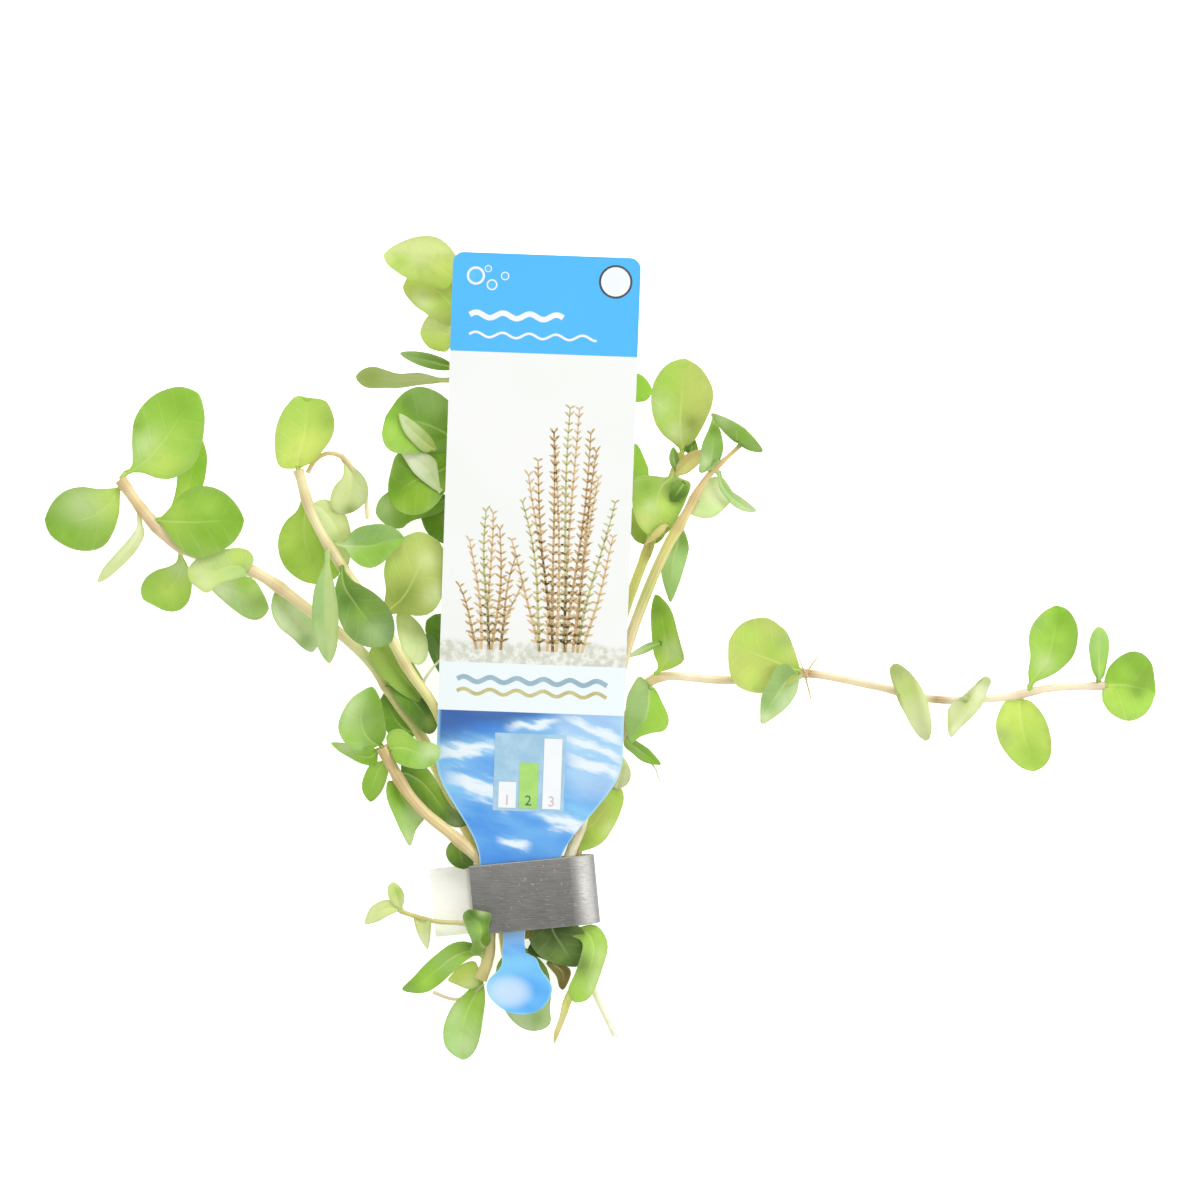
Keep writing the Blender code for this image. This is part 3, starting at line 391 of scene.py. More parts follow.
# Leaf outlines as drawn over the picture: one side and the other side from the stem to the tip,
# and the tip, in units of the picture (see PICTURE_ORIGIN and PICTURE_SCALE)
RIMS = {
    "leaf_far_left_end": (
        [(100, 489), (82, 487), (65, 491), (52, 502)],
        [(121, 503), (120, 515), (114, 533), (105, 546), (90, 551), (72, 549), (55, 540), (47, 531)],
        (44, 518)),
    "leaf_far_left_top": (
        [(132, 464), (132, 440), (134, 422), (141, 408), (153, 396), (168, 389), (183, 387)],
        [(143, 473), (156, 478), (172, 479), (188, 471), (197, 462), (202, 448), (205, 430),
         (205, 412)],
        (199, 394)),
    "leaf_far_left_back": (
        [(172, 505), (177, 485), (178, 465), (185, 447)],
        [(192, 502), (203, 487), (207, 465), (206, 450)],
        (199, 437)),
    "leaf_far_left_dark": (
        [(168, 510), (180, 496), (195, 487), (212, 487), (227, 494), (238, 506)],
        [(168, 534), (177, 546), (188, 555), (200, 558), (215, 554), (230, 546), (240, 534)],
        (244, 520)),
    "leaf_far_left_edge": (
        [(138, 527), (131, 538), (120, 550), (108, 563), (101, 572)],
        [(145, 533), (138, 548), (128, 560), (117, 570), (106, 579)],
        (97, 582)),
    "leaf_far_left_small": (
        [(177, 562), (168, 567), (157, 570), (146, 577), (140, 588)],
        [(188, 564), (192, 577), (192, 590), (188, 603), (178, 611), (165, 611), (152, 605)],
        (142, 599)),
    "leaf_far_left_pale": (
        [(254, 560), (248, 550), (233, 548), (215, 552), (198, 558)],
        [(240, 578), (222, 583), (208, 593), (198, 588), (190, 581)],
        (188, 569)),
    "leaf_far_left_low": (
        [(214, 573), (225, 577), (240, 576), (252, 578), (261, 590)],
        [(207, 578), (212, 590), (222, 600), (235, 611), (248, 619), (260, 619)],
        (268, 608)),
    "leaf_left_hanging": (
        [(273, 597), (272, 612), (279, 627), (292, 638), (302, 648)],
        [(291, 596), (300, 604), (310, 612), (318, 625), (320, 640)],
        (312, 652)),
    "leaf_left_inner": (
        [(400, 679), (412, 682), (424, 692), (434, 707), (438, 722)],
        [(391, 692), (398, 703), (411, 719), (423, 732)],
        (433, 733)),
    "leaf_left_notched": (
        [(290, 469), (279, 466), (275, 450), (276, 430), (282, 413), (290, 402), (297, 396)],
        [(312, 463), (322, 452), (332, 438), (335, 424), (332, 411), (326, 401), (315, 399)],
        (306, 402)),
    "leaf_left_bright": (
        [(297, 511), (286, 521), (279, 535), (278, 550), (283, 565), (292, 575), (304, 582)],
        [(320, 515), (328, 530), (334, 546), (340, 562), (339, 574), (330, 581)],
        (317, 584)),
    "leaf_left_pale": (
        [(325, 499), (337, 506), (346, 515), (350, 528), (352, 542), (350, 557)],
        [(314, 512), (322, 530), (330, 548), (337, 563)],
        (346, 570)),
    "leaf_left_upright": (
        [(323, 567), (315, 586), (312, 608), (313, 630), (319, 650)],
        [(332, 574), (336, 590), (339, 610), (339, 635), (336, 652)],
        (329, 663)),
    "leaf_left_two_tone": (
        [(344, 543), (349, 535), (357, 528), (368, 525), (382, 524), (395, 528)],
        [(345, 549), (351, 558), (361, 566), (373, 568), (384, 562), (392, 553), (399, 547)],
        (404, 538)),
    "leaf_left_dark": (
        [(352, 580), (361, 585), (372, 591), (383, 600), (391, 611), (395, 626)],
        [(337, 580), (334, 596), (337, 612), (343, 628), (353, 640), (367, 647), (381, 647)],
        (392, 641)),
    "leaf_left_olive": (
        [(384, 605), (386, 589), (384, 572), (388, 554), (396, 542), (408, 535), (422, 532)],
        [(394, 614), (405, 614), (418, 616), (431, 613), (441, 600), (447, 580), (447, 560)],
        (439, 542)),
    "leaf_left_behind": (
        [(401, 645), (397, 628), (397, 614)],
        [(419, 665), (427, 658), (428, 644), (424, 631), (416, 620)],
        (406, 613)),
    "leaf_arching": (
        [(343, 476), (334, 487), (330, 500), (333, 510)],
        [(361, 473), (368, 485), (368, 498), (361, 507), (351, 513)],
        (341, 514)),
    "leaf_short_top": (
        [(370, 749), (356, 750), (344, 742), (338, 727), (343, 711), (351, 699), (362, 691)],
        [(386, 735), (385, 718), (381, 700)],
        (373, 687)),
    "leaf_short_left": (
        [(372, 747), (358, 748), (345, 743)],
        [(376, 765), (362, 764), (348, 757), (338, 751)],
        (331, 743)),
    "leaf_short_lower": (
        [(372, 763), (364, 776), (362, 790)],
        [(389, 768), (386, 782), (380, 794)],
        (370, 802)),
    "leaf_short_down": (
        [(388, 781), (387, 797), (395, 818), (402, 834)],
        [(413, 793), (423, 804), (426, 816), (416, 830)],
        (410, 846)),
    "leaf_short_right": (
        [(386, 738), (392, 730), (402, 729), (411, 735), (420, 742), (430, 742)],
        [(396, 762), (412, 768), (427, 768), (438, 760)],
        (440, 748)),
    "leaf_short_folded": (
        [(402, 762), (412, 761), (424, 765), (434, 776), (442, 791), (450, 805), (460, 815)],
        [(409, 786), (418, 797), (430, 810), (444, 822), (456, 828)],
        (468, 824)),
    "leaf_by_strip": (
        [(452, 841), (446, 850), (448, 860), (455, 867)],
        [(468, 846), (475, 856), (473, 865)],
        (464, 869)),
    "leaf_foot_curled": (
        [(478, 956), (470, 954), (472, 943), (467, 929), (463, 915)],
        [(491, 940), (489, 926), (492, 914), (482, 910)],
        (469, 909)),
    "leaf_foot_left": (
        [(478, 946), (465, 941), (452, 943), (440, 951), (426, 963), (414, 976)],
        [(474, 956), (463, 963), (452, 973), (440, 984), (427, 992), (413, 993)],
        (402, 989)),
    "leaf_foot_pale": (
        [(475, 961), (462, 964), (451, 975)],
        [(478, 985), (468, 989), (457, 985)],
        (448, 981)),
    "leaf_foot_spoon": (
        [(474, 984), (465, 993), (455, 1002), (447, 1016), (443, 1031), (445, 1046), (453, 1055)],
        [(485, 990), (485, 1004), (483, 1019), (481, 1033), (477, 1047), (471, 1056)],
        (463, 1060)),
    "leaf_crown_pale": (
        [(461, 268), (455, 254), (447, 244), (435, 237), (418, 237), (402, 242), (391, 248)],
        [(444, 289), (425, 284), (406, 278), (395, 271), (387, 264)],
        (384, 255)),
    "leaf_crown_low": (
        [(461, 290), (452, 272), (440, 264), (425, 262), (412, 271)],
        [(450, 326), (438, 322), (426, 314), (413, 304)],
        (403, 288)),
    "leaf_edge_small": (
        [(448, 318), (437, 312), (426, 318)],
        [(448, 351), (437, 351), (427, 346)],
        (420, 333)),
    "leaf_edge_narrow": (
        [(440, 378), (420, 373), (400, 374), (388, 371), (375, 367), (364, 369)],
        [(440, 383), (420, 385), (400, 388), (385, 388), (368, 388), (359, 383)],
        (356, 376)),
    "leaf_edge_dark": (
        [(461, 424), (456, 410), (447, 399), (433, 390), (418, 387), (404, 393), (394, 404)],
        [(450, 451), (430, 453), (411, 454), (395, 453), (386, 447), (382, 434)],
        (386, 418)),
    "leaf_edge_folded": (
        [(455, 450), (440, 449), (424, 448), (407, 448), (396, 455), (391, 470), (388, 486)],
        [(452, 480), (445, 492), (437, 504), (425, 513), (410, 515), (398, 510)],
        (390, 500)),
    "leaf_edge_low": (
        [(430, 492), (405, 489), (392, 490), (381, 497), (376, 506)],
        [(440, 513), (412, 521), (403, 528), (392, 528), (382, 522)],
        (376, 514)),
    "leaf_edge_lower": (
        [(455, 505), (443, 494), (431, 501), (424, 512)],
        [(457, 549), (442, 543), (432, 538), (425, 529)],
        (422, 520)),
    "leaf_right_top": (
        [(672, 442), (663, 435), (655, 423), (651, 405), (652, 388), (657, 376), (665, 366),
         (674, 361)],
        [(694, 441), (701, 430), (707, 418), (712, 405), (713, 391), (707, 377), (698, 366)],
        (685, 359)),
    "leaf_hidden_top": (
        [(580, 372), (610, 368), (637, 373), (647, 380)],
        [(580, 415), (610, 414), (634, 403), (646, 401)],
        (652, 391)),
    "leaf_hidden_right": (
        [(590, 462), (615, 444), (635, 443), (643, 455)],
        [(590, 505), (620, 505), (640, 492), (648, 481)],
        (648, 469)),
    "leaf_right_upright": (
        [(700, 474), (700, 458), (702, 444), (708, 430)],
        [(715, 470), (723, 452), (722, 436), (718, 424)],
        (714, 415)),
    "leaf_right_tip": (
        [(728, 436), (718, 425), (710, 413), (722, 416), (735, 422)],
        [(748, 450), (763, 452), (757, 441)],
        (746, 430)),
    "leaf_right_pale": (
        [(702, 485), (713, 477), (723, 478), (730, 487)],
        [(689, 512), (700, 518), (712, 518), (721, 512), (729, 504)],
        (734, 497)),
    "leaf_right_point": (
        [(722, 478), (732, 491), (741, 497), (749, 503)],
        [(719, 488), (730, 503), (738, 509), (747, 512)],
        (757, 511)),
    "leaf_right_bright": (
        [(660, 478), (645, 475), (634, 480), (632, 500), (636, 520), (644, 532)],
        [(683, 479), (691, 484), (686, 500), (680, 513), (674, 525), (667, 533)],
        (656, 538)),
    "leaf_right_hanging": (
        [(668, 536), (663, 548), (660, 562), (662, 578), (666, 592)],
        [(686, 535), (689, 547), (687, 558), (683, 572), (678, 587)],
        (671, 602)),
    "leaf_low_bright": (
        [(581, 813), (590, 800), (604, 790)],
        [(577, 850), (590, 849), (603, 842), (613, 828), (621, 811), (624, 796)],
        (618, 785)),
    "leaf_foot_slim": (
        [(572, 983), (563, 1000), (559, 1018), (554, 1032)],
        [(579, 985), (572, 1001), (567, 1015), (561, 1030)],
        (554, 1044)),
    "leaf_foot_bright": (
        [(582, 942), (580, 958), (574, 975), (568, 990)],
        [(583, 926), (596, 925), (605, 935), (608, 948), (603, 967), (595, 989), (587, 1000)],
        (574, 1002)),
    "leaf_foot_dark": (
        [(541, 926), (560, 925), (576, 926)],
        [(527, 951), (543, 959), (554, 963), (568, 965), (580, 961)],
        (583, 944)),
    "leaf_foot_under_paddle": (
        [(497, 965), (499, 995), (507, 1014), (516, 1024), (524, 1029)],
        [(545, 965), (551, 990), (550, 1008), (551, 1022), (544, 1029)],
        (533, 1031)),
    "leaf_bend_up": (
        [(658, 665), (654, 655), (652, 640), (651, 625), (651, 610)],
        [(673, 668), (684, 660), (681, 645), (677, 630), (672, 612), (664, 600)],
        (655, 595)),
    "leaf_bend_down": (
        [(640, 676), (632, 686), (627, 697), (625, 715), (626, 732)],
        [(656, 690), (662, 702), (667, 712), (669, 722), (664, 731), (652, 733), (640, 737)],
        (631, 743)),
    "leaf_bend_point": (
        [(630, 737), (640, 743), (650, 750)],
        [(624, 746), (632, 753), (640, 760), (650, 764)],
        (661, 764)),
    "leaf_trail_round": (
        [(799, 664), (796, 654), (792, 643), (787, 632), (778, 624), (768, 618), (756, 618),
         (744, 622), (735, 630)],
        [(792, 684), (777, 691), (760, 693), (747, 691), (736, 685), (730, 675), (728, 660)],
        (729, 642)),
    "leaf_trail_front": (
        [(787, 664), (776, 668), (769, 680), (763, 690), (760, 703)],
        [(799, 684), (797, 693), (789, 705), (780, 713), (770, 720)],
        (761, 723)),
    "leaf_trail_edge": (
        [(893, 682), (890, 669), (896, 663), (906, 669), (915, 679), (922, 690)],
        [(899, 701), (904, 711), (911, 725), (919, 737), (927, 741), (931, 728), (929, 712)],
        (926, 700)),
    "leaf_trail_twisted": (
        [(972, 690), (979, 681), (987, 676), (991, 681), (987, 690), (984, 698)],
        [(956, 704), (949, 708), (948, 722), (950, 738), (958, 730), (966, 722), (974, 714)],
        (981, 705)),
    "leaf_trail_up": (
        [(1028, 672), (1030, 656), (1028, 641), (1030, 629), (1035, 620), (1044, 611)],
        [(1038, 681), (1048, 677), (1058, 671), (1068, 662), (1074, 653), (1077, 640),
         (1077, 627), (1072, 615), (1065, 608)],
        (1055, 606)),
    "leaf_trail_down": (
        [(1006, 700), (999, 710), (995, 724), (998, 740), (1005, 752), (1014, 762), (1024, 769)],
        [(1030, 701), (1040, 711), (1047, 724), (1051, 740), (1051, 755), (1045, 766)],
        (1035, 771)),
    "leaf_trail_slim": (
        [(1092, 672), (1089, 660), (1087, 646), (1090, 634)],
        [(1105, 676), (1108, 662), (1110, 648), (1109, 637), (1104, 629)],
        (1097, 627)),
    "leaf_trail_end": (
        [(1107, 671), (1114, 661), (1123, 654), (1133, 651), (1143, 654), (1151, 663),
         (1154, 677)],
        [(1102, 697), (1106, 708), (1114, 716), (1127, 721), (1139, 718), (1149, 709)],
        (1155, 693)),
    "leaf_low_tip": (
        [(392, 904), (388, 895), (388, 886)],
        [(404, 903), (404, 893), (399, 885)],
        (393, 882)),
    "leaf_low_side": (
        [(394, 901), (383, 900), (372, 906), (367, 914)],
        [(399, 911), (388, 916), (377, 922)],
        (365, 924)),
    "leaf_low_root": (
        [(414, 915), (415, 926), (420, 939)],
        [(431, 919), (431, 930), (430, 941)],
        (427, 949)),
    "leaf_edge_flap": (
        [(435, 490), (424, 482), (414, 473), (407, 463)],
        [(438, 471), (436, 461), (428, 454), (415, 450)],
        (401, 451)),
    "leaf_foot_cover": (
        [(535, 930), (530, 943), (541, 957), (556, 964)],
        [(574, 923), (585, 934), (586, 950), (584, 960)],
        (576, 967)),
    "leaf_foot_dried": (
        [(546, 963), (556, 976), (559, 987)],
        [(567, 966), (571, 973), (567, 985)],
        (563, 990)),
    "leaf_right_bud": (
        [(684, 451), (686, 444)],
        [(698, 453), (697, 444)],
        (693, 437)),
    "leaf_right_sliver": (
        [(671, 466), (669, 456)],
        [(679, 464), (678, 454)],
        (673, 447)),
    "leaf_bend_twisted": (
        [(651, 642), (640, 647)],
        [(652, 650), (640, 655)],
        (627, 657)),
    "leaf_label_pale": (
        [(609, 783), (611, 770)],
        [(627, 785), (631, 775), (628, 764)],
        (621, 756)),
    "leaf_left_tucked": (
        [(412, 700), (396, 690), (379, 673), (369, 656)],
        [(427, 690), (419, 672), (407, 655), (392, 644)],
        (376, 643)),
    "leaf_short_under": (
        [(404, 739), (390, 735), (381, 720), (379, 705)],
        [(415, 724), (406, 711), (398, 699), (391, 693)],
        (384, 693)),
    "leaf_label_shade": (
        [(441, 676), (434, 664), (428, 650)],
        [(444, 660), (438, 645), (432, 634)],
        (424, 636)),
    "leaf_right_scrap": (
        [(688, 488), (684, 496), (678, 502)],
        [(678, 482), (672, 488), (669, 494)],
        (671, 501)),
    "leaf_right_dried": (
        [(664, 532), (656, 539)],
        [(661, 525), (652, 533)],
        (645, 545)),
    "leaf_right_straw": (
        [(676, 466), (683, 457), (692, 451)],
        [(686, 474), (696, 467), (702, 459)],
        (703, 450)),
    "leaf_edge_fold": (
        [(433, 440), (424, 430), (412, 420)],
        [(424, 452), (412, 442), (403, 430)],
        (399, 414)),
}

# Small leaves and dried bits that the frame leaves out: where each starts and ends on the picture
# and how high it is there, then the columns of the leaves from the width on
LOOSE_LEAVES = [
    ("leaf_edge_fold", (436, 450, 12.2), (400, 415, 13.4), 3, 0, 0.1, 0.2, "round",
     "haze", "olive", 0),
    ("leaf_edge_flap", (441, 492, 12.5), (402, 452, 11.9), 3, 0, 0.2, -0.3, "round",
     "milk", "haze", 0),
    # leaf_foot_cover copies a dark leaf higher up so that it shows, and its pine tones are painted
    # shade below the strip.
    ("leaf_foot_cover", (552, 921, 5.9), (576, 966, 5.0), 6, 0, 0.1, 0.1, "round",
     "pine", "pine", -90),
    ("leaf_foot_dried", (551, 960, 5.0), (563, 990, 3.4), 2, 0, 0.2, 0.2, "long",
     "bark", "brown", -90),
    ("leaf_right_bud", (690, 452, 11.4), (691, 437, 11.0), 2, 0, 0.1, 0.2, "round",
     "moss", "deep", 0),
    ("leaf_right_straw", (676, 476, 11.3), (702, 452, 12.4), 3.2, 0, 0.2, 0.3, "round",
     "straw", "tan", 90),
    ("leaf_right_scrap", (684, 482, 12.7), (672, 500, 12.7), 2.6, 0, 0.1, 0.2, "round",
     "deep", "moss", -90),
    ("leaf_right_dried", (668, 524, 12.4), (646, 544, 11.8), 2, 0, 0.1, 0.2, "long",
     "straw", "tan", -90),
    ("leaf_right_sliver", (677, 470, 11.4), (671, 447, 12.0), 1.2, 0, 0.1, 0.2, "long",
     "slate", "shade", 0),
    ("leaf_bend_twisted", (661, 643, 6.4), (628, 655, 8.6), 1.6, 0, 0.1, 0.4, "long",
     "deep", "haze", 180),
    ("leaf_label_pale", (617, 790, 4.2), (622, 757, 7.6), 2, 0, 0.2, 0.3, "round",
     "ash", "haze", 90),
    # leaf_label_shade is a dark sheet laid where the leaves lie in shade beside the label: painted
    # shade.
    ("leaf_label_shade", (446, 680, 4.6), (426, 636, 5.4), 3, 0, 0.2, 0.2, "round",
     "shade", "slate", 90),
    ("leaf_left_tucked", (425, 705, 6.6), (374, 646, 8.6), 5, 0, 0.3, 0.3, "round",
     "mid", "olive", 90),
    ("leaf_short_under", (418, 735, 4.4), (385, 694, 4.6), 4, 0, 0.2, 0.2, "round",
     "grass", "deep", 90),
]

# Fine roots and twigs: thickness, tone, and their way over the picture with the height of each spot
TWIGS = {
    "root_trail_up": (0.2, "tan", [(805, 676, 3.8), (811, 666, 4.6), (819, 655, 5.2)]),
    "root_trail_down": (0.2, "tan", [(805, 675, 3.6), (808, 687, 2.2), (811, 699, 1.0)]),
    "root_trail_left": (0.18, "tan", [(808, 677, 3.8), (803, 668, 4.4), (799, 658, 4.6)]),
    "twig_by_label": (0.3, "milk", [(422, 684, 7.4), (430, 671, 8.6), (442, 658, 9.4)]),
    "twig_foot": (0.35, "blush", [(433, 992, 0.5), (452, 999, 1.4), (470, 996, 2.4),
                                  (484, 984, 3.2)]),
    "twig_bend": (0.2, "ash", [(646, 758, 1.6), (655, 768, 1.4), (660, 782, 0.8)]),
    "stalk_end": (0.62, "milk", [(612, 1029, 1.5), (617, 1036, 1.1)]),
}

# Soft patches of another tone: where their middle is on the picture, how far they reach, the tone.
# They are partly the leaves' and stems' own blotches and partly painted light and shade.
PATCHES = {
    "leaf_far_left_end": [(108, 500, 22, "glow"), (82, 504, 24, "haze"), (66, 536, 16, "mid")],
    "leaf_far_left_top": [(182, 402, 20, "deep"), (146, 446, 18, "haze"), (164, 460, 18, "glow"),
                          (137, 424, 9, "deep"), (176, 440, 14, "bright")],
    "leaf_far_left_back": [(182, 500, 20, "glow"), (205, 470, 8, "mid")],
    "leaf_far_left_dark": [(174, 512, 16, "lime"), (222, 544, 20, "grass"),
                           (206, 505, 14, "bright")],
    "leaf_far_left_edge": [(140, 535, 16, "milk"), (104, 574, 10, "haze")],
    "leaf_far_left_small": [(150, 596, 13, "bright"), (180, 568, 12, "haze"),
                            (168, 590, 10, "glow")],
    "leaf_far_left_pale": [(204, 584, 16, "haze"), (240, 556, 14, "lime"), (196, 566, 10, "haze")],
    "leaf_far_left_low": [(222, 592, 17, "milk"), (262, 600, 13, "slate"),
                          (245, 582, 10, "bright")],
    "leaf_left_hanging": [(304, 642, 10, "slate"), (290, 616, 18, "milk"), (278, 598, 8, "haze")],
    "leaf_left_notched": [(298, 408, 13, "mid"), (281, 442, 9, "mid"), (306, 448, 16, "glow"),
                          (328, 420, 9, "grass")],
    "leaf_left_bright": [(314, 518, 15, "glow"), (286, 562, 12, "acid"), (300, 540, 16, "lime"),
                         (326, 566, 10, "lime")],
    "leaf_left_pale": [(330, 520, 16, "haze"), (346, 545, 8, "blue")],
    "leaf_left_upright": [(320, 640, 14, "haze")],
    "leaf_left_dark": [(376, 630, 14, "blue"), (346, 598, 14, "shade"), (352, 636, 10, "shade"),
                       (378, 608, 12, "deep"), (362, 614, 9, "mid")],
    "leaf_left_olive": [(428, 560, 12, "pale"), (404, 596, 16, "moss"), (392, 568, 8, "bright"),
                        (436, 596, 12, "haze")],
    "leaf_left_behind": [(408, 626, 12, "haze")],
    "leaf_left_inner": [(406, 688, 8, "haze"), (432, 722, 9, "olive"), (404, 700, 10, "grass")],
    "leaf_arching": [(350, 511, 8, "moss"), (340, 490, 14, "haze")],
    "leaf_short_top": [(350, 706, 12, "haze"), (366, 716, 10, "slate"), (380, 700, 9, "grass"),
                       (350, 740, 10, "mid")],
    "leaf_short_left": [(345, 748, 10, "haze"), (370, 758, 8, "grass")],
    "leaf_short_down": [(418, 812, 10, "haze"), (394, 798, 10, "grass"), (410, 838, 8, "haze")],
    "leaf_short_right": [(396, 742, 12, "bright"), (430, 752, 12, "haze"), (432, 764, 6, "grass")],
    "leaf_short_folded": [(408, 768, 12, "moss"), (428, 784, 14, "acid"), (444, 800, 12, "acid"),
                          (458, 806, 9, "pale"), (456, 824, 7, "haze")],
    "leaf_by_strip": [(452, 846, 7, "bright")],
    "leaf_foot_left": [(446, 962, 11, "sage"), (426, 982, 12, "bright"), (470, 946, 9, "moss"),
                       (408, 988, 7, "slate")],
    "leaf_foot_pale": [(460, 974, 10, "glow")],
    "leaf_foot_spoon": [(474, 1004, 14, "bright"), (452, 1012, 10, "haze"), (466, 1044, 12, "haze")],
    "leaf_crown_pale": [(420, 246, 18, "pale"), (444, 268, 12, "glow"), (400, 262, 9, "mid")],
    "leaf_crown_low": [(430, 276, 14, "lime"), (420, 300, 12, "haze"), (446, 300, 12, "mid")],
    "leaf_edge_narrow": [(372, 378, 10, "shade"), (430, 379, 18, "ash")],
    "leaf_edge_dark": [(410, 404, 12, "shade"), (420, 414, 9, "shade"), (444, 418, 14, "shade"),
                       (430, 402, 16, "slate"), (440, 436, 12, "moss"), (392, 430, 9, "bright")],
    "leaf_edge_folded": [(400, 466, 17, "shade"), (396, 482, 12, "moss"), (447, 468, 13, "moss"),
                         (418, 502, 15, "acid"), (436, 500, 10, "grass")],
    "leaf_edge_low": [(384, 506, 9, "haze"), (405, 520, 10, "grass")],
    "leaf_edge_lower": [(440, 520, 18, "acid"), (430, 536, 9, "grass")],
    "leaf_right_top": [(668, 384, 10, "mid"), (698, 408, 13, "khaki"), (660, 405, 12, "blue"),
                       (690, 384, 9, "olive"), (690, 424, 9, "moss"), (676, 432, 10, "haze")],
    "leaf_right_upright": [(714, 430, 8, "shade"), (706, 462, 8, "haze")],
    "leaf_right_pale": [(720, 494, 12, "milk"), (708, 508, 10, "blue")],
    "leaf_right_bright": [(677, 490, 10, "moss"), (642, 520, 11, "straw"), (663, 530, 9, "tan"),
                          (646, 486, 11, "deep"), (662, 506, 9, "glow"), (638, 500, 8, "acid"),
                          (650, 508, 8, "pale")],
    "leaf_low_bright": [(600, 812, 14, "olive"), (588, 842, 10, "grass"), (612, 830, 8, "haze")],
    "leaf_foot_bright": [(582, 964, 13, "pine"), (604, 956, 11, "pale"), (600, 977, 10, "haze"),
                         (594, 990, 8, "pale")],
    # Painted shade: the pine patches of leaf_foot_dark, leaf_foot_curled and leaf_foot_cover darken
    # them just below the strip, where it shades them.
    "leaf_foot_dark": [(572, 954, 9, "slate"), (540, 940, 14, "pine"), (560, 934, 10, "pine")],
    "leaf_foot_slim": [(556, 1038, 9, "tan"), (566, 1002, 10, "straw")],
    "leaf_foot_under_paddle": [(538, 1018, 10, "sage")],
    "leaf_bend_up": [(656, 610, 11, "shade"), (662, 632, 10, "grass"), (674, 650, 12, "haze")],
    "leaf_trail_round": [(748, 638, 15, "bright"), (776, 650, 13, "mid"), (752, 680, 14, "lime"),
                         (786, 640, 9, "slate"), (795, 668, 8, "grass")],
    "leaf_trail_front": [(784, 676, 10, "slate"), (768, 706, 10, "slate"), (764, 718, 7, "ash")],
    "leaf_trail_edge": [(898, 670, 11, "slate"), (908, 690, 9, "bright"), (922, 728, 10, "ash")],
    "leaf_trail_twisted": [(986, 681, 8, "sage"), (970, 702, 9, "haze"), (952, 730, 10, "milk")],
    "leaf_trail_up": [(1062, 620, 13, "deep"), (1044, 664, 12, "pale"), (1060, 640, 10, "bright"),
                      (1036, 622, 8, "slate")],
    "leaf_trail_down": [(1018, 712, 13, "lime"), (1032, 750, 14, "mid"), (1004, 736, 8, "slate"),
                        (1046, 742, 8, "lime")],
    "leaf_trail_slim": [(1098, 638, 10, "slate"), (1102, 668, 9, "bright")],
    "leaf_trail_end": [(1144, 678, 11, "shade"), (1137, 690, 8, "moss"), (1124, 668, 9, "bright"),
                       (1118, 704, 12, "lime"), (1132, 660, 10, "deep"), (1109, 688, 6, "glow")],
    "stem_trailing": [(808, 675, 9, "brown"), (938, 699, 9, "brown"), (652, 676, 9, "yellow"),
                      (690, 678, 30, "blush")],
    # Painted light: the pale patch on stem_far_left and the straw one on stem_short_left lighten stem
    # parts that lie in shade.
    "stem_far_left": [(372, 655, 24, "pale"), (122, 484, 9, "tan"), (140, 502, 12, "tan"),
                      (298, 588, 10, "tan")],
    "stem_short_left": [(482, 965, 22, "straw")],
    "leaf_right_hanging": [(686, 540, 12, "moss"), (672, 590, 14, "sage"), (666, 556, 9, "blue")],
    "leaf_right_tip": [(742, 434, 9, "mid"), (722, 420, 8, "haze")],
    "leaf_bend_down": [(648, 676, 9, "slate"), (634, 726, 10, "slate"), (662, 722, 9, "acid")],
    "leaf_low_tip": [(398, 892, 6, "mid")],
    "leaf_foot_curled": [(470, 916, 7, "pine"), (482, 912, 5, "haze"), (480, 930, 7, "bright"),
                         (476, 950, 7, "shade")],
    "leaf_foot_cover": [(560, 956, 14, "shade"), (545, 940, 16, "pine")],
    "leaf_left_two_tone": [(343, 545, 12, "haze"), (356, 532, 9, "slate"), (380, 556, 14, "deep"),
                           (390, 534, 9, "slate")],
    "stem_right": [(668, 540, 24, "yellow"), (655, 590, 28, "khaki")],
}


def srgb(red, green, blue):
    """A colour of the screen, 0 to 255, as a linear colour with full cover."""
    def linear(value):
        value /= 255
        return value / 12.92 if value <= 0.04045 else ((value + 0.055) / 1.055) ** 2.4
    return (linear(red), linear(green), linear(blue), 1.0)


def printed(red, green, blue):
    """A label colour, for the print and for the painted highlights on the paddle, held back because the
    label faces the lamps squarely.
    """
    return (*(part * PRINT_DEPTH for part in srgb(red, green, blue)[:3]), 1.0)


